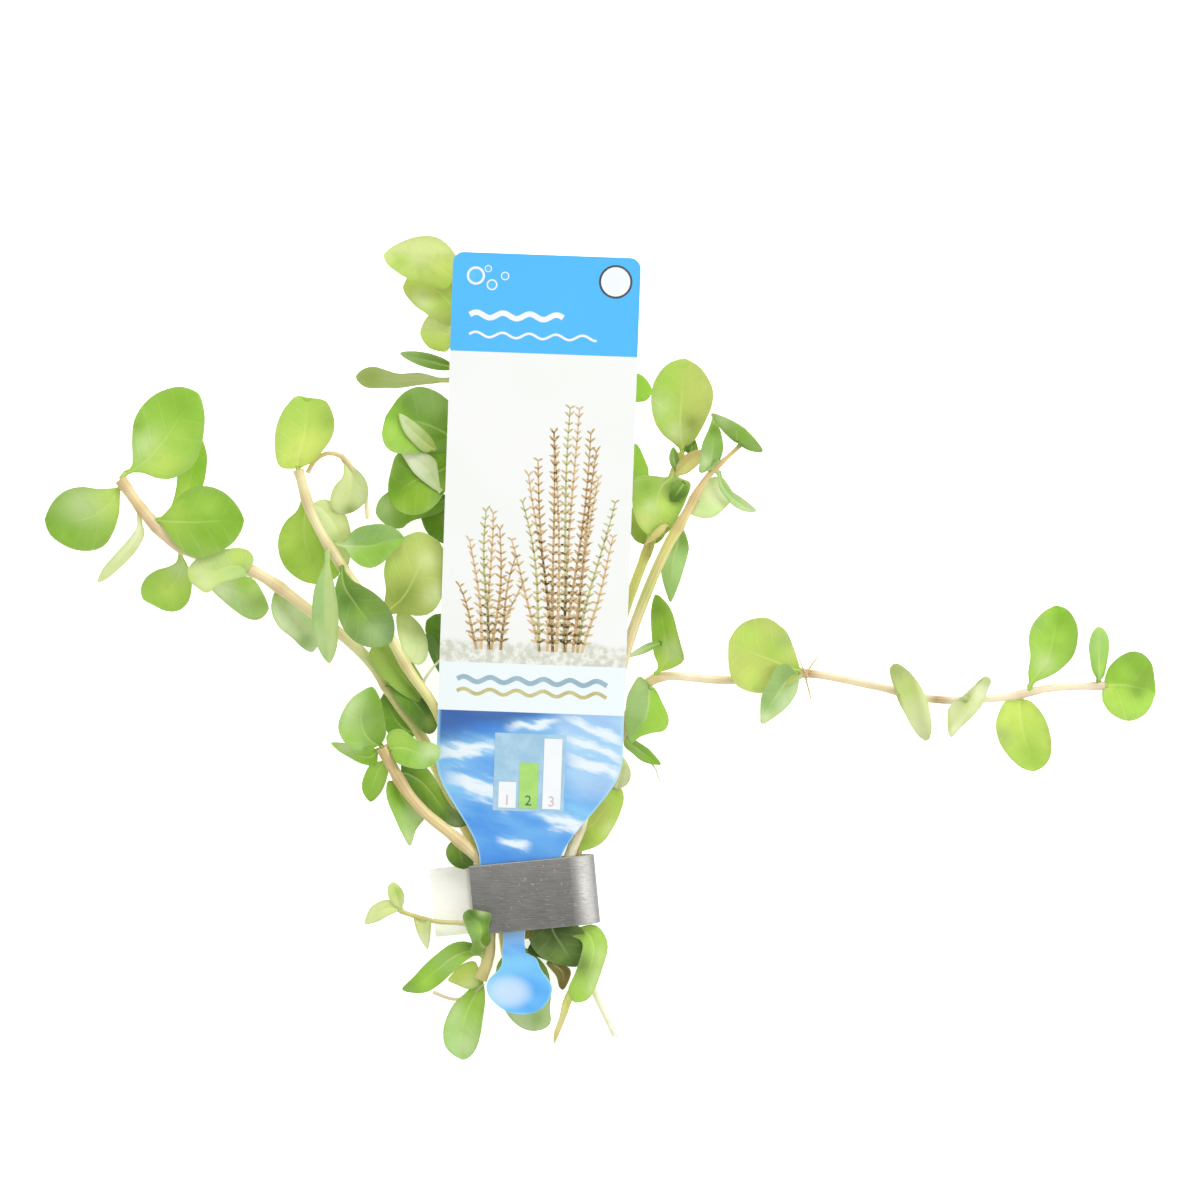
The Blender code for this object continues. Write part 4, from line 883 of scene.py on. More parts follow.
class Shade:
    """One output socket of a shader tree, so that shader maths reads as Python expressions."""

    def __init__(self, tree, socket=None):
        self.tree = tree
        self.socket = socket

    def node(self, kind, settings=None, sockets=None, output=0):
        """Adds a node: its type, its settings, then the values or links of its sockets."""
        made = self.tree.nodes.new(kind)
        for name, value in (settings or {}).items():
            if name == "stops":
                ramp = made.color_ramp.elements
                while len(ramp) < len(value):
                    ramp.new(0.5)
                for stop, (place, colour) in zip(ramp, value):
                    stop.position = place
                    stop.color = colour
            else:
                setattr(made, name, value)
        for name, value in (sockets or {}).items():
            if isinstance(value, Shade):
                self.tree.links.new(value.socket, made.inputs[name])
            else:
                made.inputs[name].default_value = value
        return Shade(self.tree, made.outputs[output])

    def maths(self, operation, *values, clamp=False):
        settings = {"operation": operation, "use_clamp": clamp}
        return self.node("ShaderNodeMath", settings, dict(enumerate(values)))

    def __add__(self, other):
        return self.maths("ADD", self, other)

    def __radd__(self, other):
        return self.maths("ADD", other, self)

    def __sub__(self, other):
        return self.maths("SUBTRACT", self, other)

    def __rsub__(self, other):
        return self.maths("SUBTRACT", other, self)

    def __mul__(self, other):
        return self.maths("MULTIPLY", self, other)

    def __rmul__(self, other):
        return self.maths("MULTIPLY", other, self)

    def __truediv__(self, other):
        return self.maths("DIVIDE", self, other)

    def __pow__(self, other):
        return self.maths("POWER", self, other)

    def __abs__(self):
        return self.maths("ABSOLUTE", self)

    def sine(self):
        return self.maths("SINE", self)

    def between(self, low, high):
        """0 below low, 1 above high, smooth between them."""
        settings = {"interpolation_type": "SMOOTHSTEP"}
        sockets = {"Value": self, "From Min": low, "From Max": high}
        return self.node("ShaderNodeMapRange", settings, sockets)

    def mix(self, first, second, blend="MIX"):
        """A colour from first, where this is 0, to second, where it is 1."""
        settings = {"data_type": "RGBA", "blend_type": blend}
        return self.node("ShaderNodeMix", settings, {0: self, 6: first, 7: second}, output=2)

    def split(self):
        """The three parts of a vector."""
        made = self.node("ShaderNodeSeparateXYZ", {}, {"Vector": self})
        return [Shade(self.tree, part) for part in made.socket.node.outputs]

    def attribute(self, name, output="Vector"):
        return self.node("ShaderNodeAttribute", {"attribute_name": name}, {}, output)

    def place(self, scale=(1, 1, 1)):
        """The piece's own coordinates in millimetres, stretched by a scale."""
        own = self.node("ShaderNodeTexCoord", {}, {}, "Object")
        grown = tuple(part / MM for part in scale)
        return self.node("ShaderNodeVectorMath", {"operation": "MULTIPLY"}, {0: own, 1: grown})

    def noise(self, place, scale, detail=3.0, output="Fac"):
        sockets = {"Vector": place, "Scale": scale, "Detail": detail}
        return self.node("ShaderNodeTexNoise", {}, sockets, output)

    def bump(self, height, distance, strength=1.0):
        sockets = {"Height": height, "Distance": distance * MM, "Strength": strength}
        return self.node("ShaderNodeBump", {}, sockets)


def finish_for(name):
    """An empty material, its Shade and its output node."""
    made = bpy.data.materials.new(name)
    made.use_nodes = True
    made.node_tree.nodes.clear()
    out = made.node_tree.nodes.new("ShaderNodeOutputMaterial")
    return made, Shade(made.node_tree), out


def show(shade, out):
    """Leads a shader into the material's output."""
    shade.tree.links.new(shade.socket, out.inputs["Surface"])


def leaf_finish(name, through):
    """A thin leaf with a midrib, side veins and a fine grain, and the colour it lets through."""
    made, shade, out = finish_for(name)
    tone = shade.attribute("tone", "Color")
    across, phase, along = shade.attribute("veins").split()
    place = shade.place()
    rib = (1 - abs(across).between(0.03, 0.28)) * (1 - along.between(0.25, 0.85))
    wave = (phase * math.tau).sine()
    side_vein = wave.between(0.8, 1.0) * abs(across).between(0.3, 1.2)
    patches = shade.noise(place, 0.13, 2.0)
    clouds = shade.noise(place, 0.45, 3.0)
    cells = shade.noise(place, 2.6, 4.0)
    colour = (patches.between(0.4, 0.75) * 0.25).mix(tone, srgb(206, 230, 128))
    colour = (clouds.between(0.5, 0.8) * 0.25).mix(colour, srgb(112, 164, 52))
    colour = (cells.between(0.45, 0.8) * 0.08).mix(colour, srgb(120, 170, 54))
    colour = (side_vein * 0.07).mix(colour, srgb(226, 240, 166))
    colour = (rib * 0.42).mix(colour, srgb(226, 240, 160))
    height = cells * 0.25 - side_vein * 0.35 - rib * 0.4
    normal = shade.bump(height, 0.1, 0.5)
    roughness = 0.44 + clouds * 0.12
    skin = shade.node("ShaderNodeBsdfPrincipled", {}, {
        "Base Color": colour, "Roughness": roughness, "Normal": normal,
        "Specular IOR Level": 0.4})
    glow = shade.node("ShaderNodeBsdfTranslucent", {}, {"Color": srgb(*through)})
    show(shade.node("ShaderNodeMixShader", {}, {0: LEAF_CLEARNESS, 1: skin, 2: glow}), out)
    return made


def stem_finish():
    """A juicy stem with fine lengthwise ribs, tinted from its foot to its tip."""
    made, shade, out = finish_for("rotala_stem")
    tone = shade.attribute("tone", "Color")
    around, joint, along = shade.attribute("grain").split()
    place = shade.place()
    blotches = shade.noise(place, 0.5, 3.0)
    streaks = (around * 5.0 + shade.noise(place, 0.8, 2.0) * 2.0).sine()
    colour = (blotches.between(0.45, 0.75) * 0.3).mix(tone, srgb(222, 182, 140))
    colour = (streaks.between(0.2, 1.0) * 0.25).mix(colour, srgb(242, 238, 186))
    colour = (joint * 0.35).mix(colour, srgb(176, 138, 88))
    normal = shade.bump(streaks * 0.4 + blotches, 0.1, 0.5)
    roughness = 0.38 + blotches * 0.15
    skin = shade.node("ShaderNodeBsdfPrincipled", {}, {
        "Base Color": colour, "Roughness": roughness, "Normal": normal,
        "Specular IOR Level": 0.45})
    glow = shade.node("ShaderNodeBsdfTranslucent", {}, {"Color": srgb(236, 222, 170)})
    show(shade.node("ShaderNodeMixShader", {}, {0: 0.2, 1: skin, 2: glow}), out)
    return made


def metal_finish():
    """Soft dark metal, dulled, with fine scratches, painted highlights on the round turn and along the
    long edges, and a loose end painted near white with a faint glow, as if it caught the light.
    """
    made, shade, out = finish_for("strip_metal")
    tail_highlight, bend, rim = shade.attribute("band").split()
    place = shade.place()
    clouds = shade.noise(place, 0.22, 4.0)
    fine = shade.noise(shade.place((0.5, 6.0, 1.0)), 0.9, 5.0)
    scratch = shade.noise(shade.place((0.5, 3.0, 1.0)), 1.3, 6.0).between(0.6, 0.74)
    specks = shade.noise(place, 1.4, 3.0).between(0.64, 0.74)
    colour = clouds.between(0.3, 0.7).mix(srgb(44, 43, 42), srgb(66, 65, 64))
    colour = (scratch * 0.2).mix(colour, srgb(120, 119, 117))
    colour = (specks * 0.5).mix(colour, srgb(150, 149, 147))
    # Painted highlights: the round turn and the long edges are lightened where the lamps would glint on
    # them.
    colour = (bend * (0.35 + fine * 0.5)).mix(colour, srgb(196, 195, 192))
    colour = (rim * (0.3 + fine * 0.5)).mix(colour, srgb(196, 195, 190))
    # Painted highlight and glow: the loose end is painted near white, not metallic, and glows a little,
    # as if it caught the light.
    colour = tail_highlight.mix(colour, srgb(252, 251, 246))
    normal = shade.bump(fine * 0.2 - scratch * 0.5 + clouds + specks * 0.4, 0.12, 0.6)
    roughness = 0.44 + clouds * 0.2 - scratch * 0.1
    skin = shade.node("ShaderNodeBsdfPrincipled", {}, {
        "Base Color": colour, "Metallic": 1 - tail_highlight, "Roughness": roughness,
        "Emission Color": tail_highlight.mix((0, 0, 0, 1), (1, 1, 0.97, 1)), "Emission Strength": 0.1,
        "Normal": normal})
    show(skin, out)
    return made


def label_finish():
    """The label's printed face: blue header, pale panel, sand, bare strip and blue water."""
    made, shade, out = finish_for("label_print")
    spot = shade.attribute("print")
    x, y, _ = spot.split()
    sky = y.between(HEADER_FOOT - 0.05, HEADER_FOOT + 0.05)
    panel = y.between(PANEL_FOOT - 0.05, PANEL_FOOT + 0.05)
    water = 1 - y.between(WATER_TOP - 0.05, WATER_TOP + 0.05)
    cast = shade.noise(spot, 0.05, 2.0)
    wavy = y + shade.noise(spot, 0.35, 3.0) * 2.2
    sand = 1 - wavy.between(SAND_TOP + 0.2, SAND_TOP + 1.6)
    grains = shade.noise(spot, 0.9, 4.0).between(0.38, 0.66)
    field = cast.between(0.3, 0.7).mix(printed(246, 248, 244), printed(250, 251, 249))
    gravel = grains.mix(printed(206, 208, 186), printed(243, 245, 236))
    field = (sand * 0.85).mix(field, gravel)
    colour = panel.mix(printed(243, 252, 253), field)
    colour = sky.mix(colour, cast.mix(printed(72, 186, 250), printed(82, 193, 253)))
    colour = water.mix(colour, water_colour(shade, spot, x, y))
    fine = shade.noise(spot, 3.0, 2.0)
    skin = shade.node("ShaderNodeBsdfPrincipled", {}, {
        "Base Color": colour, "Roughness": 0.3 + cast * 0.08,
        "Normal": shade.bump(fine, 0.01, 0.3), "Coat Weight": 0.2, "Coat Roughness": 0.12})
    show(skin, out)
    return made


def water_colour(shade, spot, x, y):
    """Blue water: dusk at the top, feathery crests, a pale neck and a glare on the paddle."""
    stretched = shade.node("ShaderNodeMapping", {"vector_type": "TEXTURE"}, {
        "Vector": spot, "Rotation": (0, 0, math.radians(-14)), "Scale": (16, 5, 1)})
    swirl = shade.noise(stretched, 0.9, 4.0)
    feather = shade.noise(stretched, 3.4, 5.0) - 0.5
    blue = swirl.between(0.3, 0.7).mix(printed(56, 142, 232), printed(136, 206, 250))
    spray = (x + y * 0.3).between(9, 15) * y.between(14, 19)
    blue = (spray * 0.55).mix(blue, printed(206, 232, 250))
    dusk = (y - x * 0.25 + (swirl - 0.5) * 9).between(26, 31)
    blue = (dusk * 0.85).mix(blue, printed(40, 84, 160))
    deep = (1 - y.between(5, 16)) * y.between(-3, 1)
    blue = (deep * 0.6).mix(blue, printed(54, 140, 232))
    for middle, level, slope, reach, width in CRESTS:
        off = y - level - (x - middle) * slope + feather * (width * 3.0)
        band = 1 - abs(off).between(width * 0.15, width)
        glow = 1 - abs(off).between(0.0, width * 2.2)
        far = 1 - abs(x - middle).between(reach * 0.3, reach)
        blue = (glow * far * 0.5).mix(blue, printed(164, 220, 250))
        blue = (band * far * 0.95).mix(blue, printed(240, 250, 254))
    neck = y.between(-9.4, -6.8) * (1 - y.between(-3.5, -1))
    blue = (neck * 0.55).mix(blue, printed(172, 218, 246))
    lobe = 1 - y.between(-11.5, -9.0)
    # Painted highlights: the paddle is lightened towards its left, and a painted glare sits low on it,
    # where the lamps would reflect.
    paddle_highlight = 1 - (x * 0.8 - y * 0.5).between(3.0, 9.5)
    blue = (lobe * 0.5).mix(blue, printed(92, 192, 255))
    blue = (lobe * paddle_highlight * 0.45).mix(blue, printed(150, 226, 252))
    glare_x, glare_y = x + 2.0, y + 16.2
    glare = 1 - (glare_x * glare_x * 0.6 + glare_y * glare_y * 1.2).between(0.0, 13.0)
    blue = (glare * 0.72).mix(blue, printed(222, 240, 254))
    edge = shade.attribute("edge", "Fac")
    blue = (edge.between(0.55, 1.0) * lobe * 0.5).mix(blue, printed(176, 230, 240))
    return (edge.between(0.8, 1.0) * (1 - lobe) * 0.7).mix(blue, printed(186, 232, 248))


def plastic_finish():
    """The label's bare plastic, at its edges and on its back."""
    made, shade, out = finish_for("label_plastic")
    cast = shade.noise(shade.place(), 0.12, 3.0)
    colour = cast.mix(printed(226, 238, 232), printed(244, 248, 244))
    skin = shade.node("ShaderNodeBsdfPrincipled", {}, {
        "Base Color": colour, "Roughness": 0.32 + cast * 0.1,
        "Normal": shade.bump(cast, 0.02, 0.3)})
    show(skin, out)
    return made


def ink_finish(name, first, second):
    """A printing ink that varies a little between two colours."""
    made, shade, out = finish_for(name)
    cast = shade.noise(shade.place(), 0.5, 3.0)
    colour = cast.between(0.3, 0.7).mix(printed(*first), printed(*second))
    skin = shade.node("ShaderNodeBsdfPrincipled", {}, {
        "Base Color": colour, "Roughness": 0.34 + cast * 0.06,
        "Normal": shade.bump(cast, 0.01, 0.2)})
    show(skin, out)
    return made


def floor_finish():
    """A matt white light table."""
    made, shade, out = finish_for("light_table")
    grain = shade.noise(shade.place(), 0.02, 2.0)
    matt = shade.node("ShaderNodeBsdfPrincipled", {}, {
        "Base Color": grain.mix(srgb(250, 250, 250), srgb(253, 253, 253)), "Roughness": 0.9,
        "Specular IOR Level": 0.0, "Emission Color": (1, 1, 1, 1), "Emission Strength": 0.62})
    show(matt, out)
    return made


def add_piece(name, points, faces, finishes, slot, nodes=(), marks=None, slots=None):
    """A closed piece from points in millimetres, riding on the bunch, with marks at its points."""
    mesh = bpy.data.meshes.new(name)
    mesh.from_pydata([Vector(p) * MM for p in points], [], faces)
    if slots:
        mesh.polygons.foreach_set("material_index", slots)
    shape = bmesh.new()
    shape.from_mesh(mesh)
    bmesh.ops.recalc_face_normals(shape, faces=shape.faces)
    shape.to_mesh(mesh)
    shape.free()
    for mark, values in (marks or {}).items():
        colour = len(values[0]) == 4
        kind, key = ("FLOAT_COLOR", "color") if colour else ("FLOAT_VECTOR", "vector")
        layer = mesh.attributes.new(mark, kind, "POINT")
        layer.data.foreach_set(key, [part for value in values for part in value])
    mesh.shade_smooth()
    mesh.set_sharp_from_angle(angle=math.radians(50))
    made = bpy.data.objects.new(name, mesh)
    bpy.context.collection.objects.link(made)
    for finish in finishes:
        mesh.materials.append(finish)
    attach(made, "root")
    if nodes:
        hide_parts(*nodes)
    return made


def smooth_line(points, step):
    """Points about a step apart on a smooth curve through the given points."""
    points = [Vector(p) for p in points]
    ends = [points[0] * 2 - points[1], *points, points[-1] * 2 - points[-2]]
    line = []
    for a, b, c, d in zip(ends, ends[1:], ends[2:], ends[3:]):
        count = max(1, round((c - b).length / step))
        for i in range(count):
            t = i / count
            line.append(0.5 * ((2 * b) + (c - a) * t + (2 * a - 5 * b + 4 * c - d) * t ** 2
                               + (3 * b - a - 3 * c + d) * t ** 3))
    return [*line, points[-1]]


def nearest(line, place):
    """The line's point closest in plan to a place, and its index."""
    spots = []
    for i, (a, b) in enumerate(zip(line, line[1:])):
        along = (b - a).xy
        t = max(0, min(1, (Vector(place) - a.xy).dot(along) / along.length_squared))
        spot = a.lerp(b, t)
        spots.append(((spot.xy - Vector(place)).length, i, spot))
    return min(spots)[1:]


def loft(rings):
    """Points and faces of a closed skin through rings of equally many points."""
    sides = len(rings[0])
    faces = []
    for i in range(len(rings) - 1):
        for k in range(sides):
            n = (k + 1) % sides
            low, high = i * sides, (i + 1) * sides
            faces.append((low + k, low + n, high + n, high + k))
    last = (len(rings) - 1) * sides
    faces.append(tuple(range(sides))[::-1])
    faces.append(tuple(range(last, last + sides)))
    return [point for ring in rings for point in ring], faces


def blend(first, second, share):
    """A colour between two tones."""
    a, b = srgb(*TONES[first]), srgb(*TONES[second])
    return tuple(p + (q - p) * share for p, q in zip(a, b))


def toned(colour, tone, share):
    """A colour led towards a tone by a share."""
    return tuple(p + (q - p) * share for p, q in zip(colour, srgb(*TONES[tone])))


def patched(name, point, colour):
    """A colour with the soft patches near a point on its leaf or stem, partly its own blotches and
    partly painted light and shade.
    """
    for x, y, reach, tone in PATCHES.get(name, ()):
        off = (point.xy - from_picture(x, y, point.z)).length * PICTURE_SCALE / reach
        colour = toned(colour, tone, PATCH_SHARE * math.exp(-off * off))
    return colour


def smooth(share):
    share = max(0, min(1, share))
    return share * share * (3 - 2 * share)


def half_width(form, t):
    """How wide a leaf is at t along it, as a share of half its width."""
    oval = math.sqrt(max(0, 1 - (2 * t - 1) ** 2))
    if form == "long":
        return oval ** 1.3 * (1 - 0.22 * (t - 0.4))
    if form == "notched":
        return oval * (1 + 0.12 * (t - 0.5))
    if form == "spoon":
        spread = (t - SPOON_STALK) / (1 - SPOON_STALK)
        return max(0.08, math.sqrt(max(0, 1 - (2 * spread - 1) ** 2)) if spread > 0 else 0)
    return oval * (1 - 0.12 * (t - 0.5))


def from_picture(x, y, z):
    """The place in plan of a spot of the picture that is z over the surface."""
    spot = Vector(((x - PICTURE_ORIGIN[0]) / PICTURE_SCALE, (PICTURE_ORIGIN[1] - y) / PICTURE_SCALE))
    centre = Vector(VIEW_CENTRE)
    return centre + (spot - centre) * (1 - z / CAMERA_HEIGHT)


def leaf_sides(name, base, tip, width, roll, form):
    """Both edges of a leaf in plan, from its base to its tip."""
    if name in RIMS:
        one, two, end = RIMS[name]
        height = (base.z + tip.z) / 2
        one = [from_picture(x, y, height) for x, y in one]
        two = [from_picture(x, y, height) for x, y in two]
        end = from_picture(*end, height)
    else:
        axis = (tip - base).xy
        side = Vector((-axis.y, axis.x)).normalized() * width / 2 * math.cos(math.radians(roll))
        shares = [i / OVAL_POINTS for i in range(1, OVAL_POINTS)]
        one = [base.xy + axis * t + side * half_width(form, t) for t in shares]
        two = [base.xy + axis * t - side * half_width(form, t) for t in shares]
        end = tip.xy
    outline = smooth_line([p.to_3d() for p in (base.xy, *one, end, *two[::-1], base.xy)],
                          OUTLINE_STEP)
    split = min(range(len(outline)), key=lambda i: (outline[i].xy - end).length)
    return outline[:split + 1], outline[:split - 1:-1]


def sampled(line, shares):
    """The points of a line at shares of its length."""
    lengths = [0.0]
    for a, b in zip(line, line[1:]):
        lengths.append(lengths[-1] + (b - a).length)
    points, i = [], 0
    for share in shares:
        goal = share * lengths[-1]
        while i < len(line) - 2 and lengths[i + 1] < goal:
            i += 1
        part = (goal - lengths[i]) / max(lengths[i + 1] - lengths[i], 1e-9)
        points.append(line[i].lerp(line[i + 1], min(1, part)))
    return points


def sheet_normals(rows):
    """The upward normal at each point of a grid, and straight up where its points meet."""
    normals = []
    for i, row in enumerate(rows):
        before, after = rows[max(i - 1, 0)], rows[min(i + 1, len(rows) - 1)]
        line = []
        for k in range(len(row)):
            across = row[min(k + 1, len(row) - 1)] - row[max(k - 1, 0)]
            out = (after[k] - before[k]).cross(across)
            line.append(out.normalized() if out.length > 1e-4 else Vector((0, 0, 0)))
        normals.append(line)
    total = sum((n for line in normals for n in line), Vector((0, 0, 0)))
    hand = 1 if total.z > 0 else -1
    return [[n * hand if n.length else Vector((0, 0, 1)) for n in line] for line in normals]


def leaf(name, root, base, tip, entry, finish, nodes):
    """A thin closed leaf with a short stalk, a midrib, a rippled edge and vein marks."""
    width, roll, cup, arch, form, first, second, toward = entry[4:]
    draw = random.Random(name)
    shares = [(1 - math.cos(math.pi * i / LEAF_ROWS)) / 2 for i in range(LEAF_ROWS + 1)]
    one, two = (sampled(side, shares) for side in leaf_sides(name, base, tip, width, roll, form))
    axis = tip.xy - base.xy
    widest = max((a - b).length for a, b in zip(one, two))
    slope = math.tan(math.radians(roll))
    ripple = draw.uniform(0.1, 0.24) * min(1, widest / 8)
    waves = [(draw.uniform(8, 14), draw.uniform(0, math.tau)) for _ in range(2)]
    columns = [2 * k / LEAF_COLUMNS - 1 for k in range(LEAF_COLUMNS + 1)]
    fold = (one[LEAF_ROWS // 2] - two[LEAF_ROWS // 2]).normalized()
    rows, marks = [], []
    for i in range(STALK_ROWS):
        t = i / STALK_ROWS
        rows.append([root.lerp(base, t) - fold * s * STALK_HALF for s in columns])
        marks.append([(s * STALK_HALF, 0.0, 1.0) for s in columns])
    for i, share in enumerate(shares):
        centre = (one[i] + two[i]) / 2
        wide = (one[i] - two[i]).length / widest
        least = STALK_HALF * (1 - share) ** 3 + 0.06
        t = max(0, min(1, (centre.xy - base.xy).dot(axis) / axis.length_squared))
        row, line = [], []
        for s in columns:
            edge = (one[i] if s < 0 else two[i]) - centre
            if edge.length < least:
                edge = fold * (least if s < 0 else -least)
            rate, start = waves[s > 0]
            across = s * edge.length
            lift = arch * 4 * t * (1 - t) + cup * s * s * wide
            lift += ripple * s * s * wide * math.sin(rate * share + start)
            point = centre + edge * abs(s)
            point.z = base.z + (tip.z - base.z) * t + across * slope + lift
            row.append(point)
            line.append((across, share, wide))
        rows.append(row)
        marks.append(line)
    return add_leaf(name, rows, marks, entry, finish, nodes, (base + tip).xy / 2, axis)


def add_leaf(name, rows, marks, entry, finish, nodes, middle, axis):
    """The leaf's piece from its sheet of points: thickness, midrib groove, tones and veins."""
    width, first, second, toward = entry[4], *entry[9:]
    two_sided = toward == "fold"
    heading = Vector((1, 0))
    if not two_sided:
        heading = Vector((math.cos(math.radians(toward)), math.sin(math.radians(toward))))
    reach = 0.5 * max(width * 0.8, abs(axis.dot(heading)))
    normals = sheet_normals(rows)
    order = [(k, 1) for k in range(LEAF_COLUMNS + 1)]
    order += [(k, -1) for k in range(LEAF_COLUMNS - 1, 0, -1)]
    rings, tones, veins = [], [], []
    for i, row in enumerate(rows):
        stalk = i < STALK_ROWS
        ring = []
        for k, face in order:
            s = 2 * k / LEAF_COLUMNS - 1
            across, along, wide = marks[i][k]
            if stalk:
                skin = face * STALK_HALF * math.sqrt(1 - s * s)
            else:
                rib = math.exp(-(across / 0.38) ** 2) * (1 - along) ** 0.6
                skin = face * LEAF_THICK / 2 * (1 - s ** 4)
                skin -= (RIB_GROOVE if face > 0 else RIB_KEEL) * rib
            point = row[k] + normals[i][k] * skin
            point.z = max(point.z, FLOOR_CLEAR)
            ring.append(point)
            # Painted light and shade, besides the leaf's own colour: the two tones split by heading, or
            # across the midrib for a fold, and the patches add more.
            if two_sided:
                share = smooth(0.5 + s * 4)
            else:
                share = smooth(0.5 + 0.55 * (point.xy - middle).dot(heading) / reach)
            tone = patched(name, point, blend(first, second, share))
            rim = 0 if stalk else RIM_SHARE * smooth((abs(s) - 0.7) / 0.3)
            tones.append(toned(tone, "rim", rim))
            slant = abs(s) * wide
            veins.append((across, along * VEIN_PAIRS - slant * 1.5 + 0.3 * slant ** 2, along))
        rings.append(ring)
    return add_piece(name + "_blade", *loft(rings), [finish], "leaf", nodes,
                     {"tone": tones, "veins": veins})


def leaf_on(line, radius, entry, finish, frame_nodes, stem_name):
    """A leaf of the table on its stem, standing where the frame has it."""
    name, place, goal, rise = entry[:4]
    i, spot = nearest(line, place)
    tip = Vector((*goal, spot.z + rise))
    ahead = (line[i + 1] - line[i]).normalized()
    away = (tip - spot).normalized()
    at_end = i == len(line) - 2 and (spot - line[-1]).length < 0.1
    rooted = name not in frame_nodes
    if rooted:
        base = spot + away * radius
    elif at_end and away.dot(ahead) > 0.2:
        base = spot + away * (GAP / away.dot(ahead) + 0.1)
    else:
        lean = away + Vector((0, 0, 0.6 if rise > 0 else -0.6))
        outward = (lean - ahead * lean.dot(ahead)).normalized()
        base = spot + outward * (radius + GAP)
    leaf(name, spot, base, tip, entry, finish, [stem_name] if rooted else [name])


def stem(name, finish):
    """A stem with swollen joints where its leaves sit and fine ribs along it."""
    foot, root, tip, low_tone, high_tone, route = STEMS[name]
    line = smooth_line(route, STEM_STEP)
    joints = [nearest(line, entry[1])[1] for entry in LEAVES[name]]
    draw = random.Random(name)
    rings, tones, grain = [], [], []
    side = Vector((0, 0, 1))
    start = draw.uniform(0, 50)
    for i, centre in enumerate(line):
        ahead = (line[min(i + 1, len(line) - 1)] - line[max(i - 1, 0)]).normalized()
        side = (side - ahead * side.dot(ahead)).normalized()
        other = ahead.cross(side)
        share = i / (len(line) - 1)
        radius = root + (tip - root) * share
        if centre.y < 0 and root > foot:
            radius = root + (foot - root) * min(1, centre.y / line[0].y)
        radius *= 1 - SLIM_END.get(name, 0) * smooth((share - 0.8) / 0.2)
        near = min((centre - joint).length for joint in joints)
        swell = math.exp(-(near / 1.3) ** 2)
        radius *= 1 + 0.22 * swell + 0.06 * noise.noise(Vector((start, i * 0.35, 0)))
        ring = []
        for k in range(STEM_SIDES):
            turn = math.tau * k / STEM_SIDES
            rib = 1 + 0.035 * math.cos(turn * 4 + start)
            ring.append(centre + (side * math.cos(turn) + other * math.sin(turn)) * radius * rib)
            tones.append(patched(name, centre, blend(low_tone, high_tone, smooth(share))))
            grain.append((math.cos(turn) * 2 + math.sin(turn * 2), swell, share))
        rings.append(ring)
    add_piece(name + "_skin", *loft(rings), [finish], "stem", [name],
              {"tone": tones, "grain": grain})
    return line, root


def twig(name, finish):
    """A fine root or twig, thinner towards its end."""
    thick, tone, route = TWIGS[name]
    line = smooth_line([(*from_picture(*spot), spot[2]) for spot in route], STEM_STEP / 2)
    rings, tones, grain = [], [], []
    for i, centre in enumerate(line):
        ahead = (line[min(i + 1, len(line) - 1)] - line[max(i - 1, 0)]).normalized()
        side = ahead.orthogonal().normalized()
        other = ahead.cross(side)
        share = i / (len(line) - 1)
        radius = thick * (1 - 0.5 * share)
        turns = [math.tau * k / TWIG_SIDES for k in range(TWIG_SIDES)]
        rings.append([centre + (side * math.cos(turn) + other * math.sin(turn)) * radius
                      for turn in turns])
        tones += [blend(tone, tone, 0)] * TWIG_SIDES
        grain += [(math.cos(turn), 0.0, share) for turn in turns]
    add_piece(name, *loft(rings), [finish], "stem", [], {"tone": tones, "grain": grain})


def kind_of(entry):
    """The kind of leaf that a row's first tone makes it."""
    return next(kind for kind, (_, tones) in LEAF_KINDS.items() if entry[9] in tones)


def shoots():
    """Every stem with its leaves."""
    skins = {kind: leaf_finish("rotala_leaf_" + kind, through)
             for kind, (through, _) in LEAF_KINDS.items()}
    stem_skin = stem_finish()
    frame_nodes = set(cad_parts)
    for name in STEMS:
        line, radius = stem(name, stem_skin)
        for entry in LEAVES[name]:
            leaf_on(line, radius, entry, skins[kind_of(entry)], frame_nodes, name)
    for name in TWIGS:
        twig(name, stem_skin)
    for name, start, end, *rest in LOOSE_LEAVES:
        base, tip = (from_picture(*spot).to_3d() + Vector((0, 0, spot[2]))
                     for spot in (start, end))
        entry = (name, start, end, 0, *rest)
        leaf(name, base, base, tip, entry, skins[kind_of(entry)], [])


def rounded_bar(width, thick, corner, steps=3):
    """A rounded rectangle round the origin, as (across, outward) pairs."""
    ring = []
    for sign_v, sign_h, begin in ((1, 1, 0), (-1, 1, 90), (-1, -1, 180), (1, -1, 270)):
        for i in range(steps + 1):
            turn = math.radians(begin + 90 * i / steps)
            ring.append((sign_v * (width / 2 - corner) + corner * math.cos(turn),
                         sign_h * (thick / 2 - corner) + corner * math.sin(turn)))
    return ring


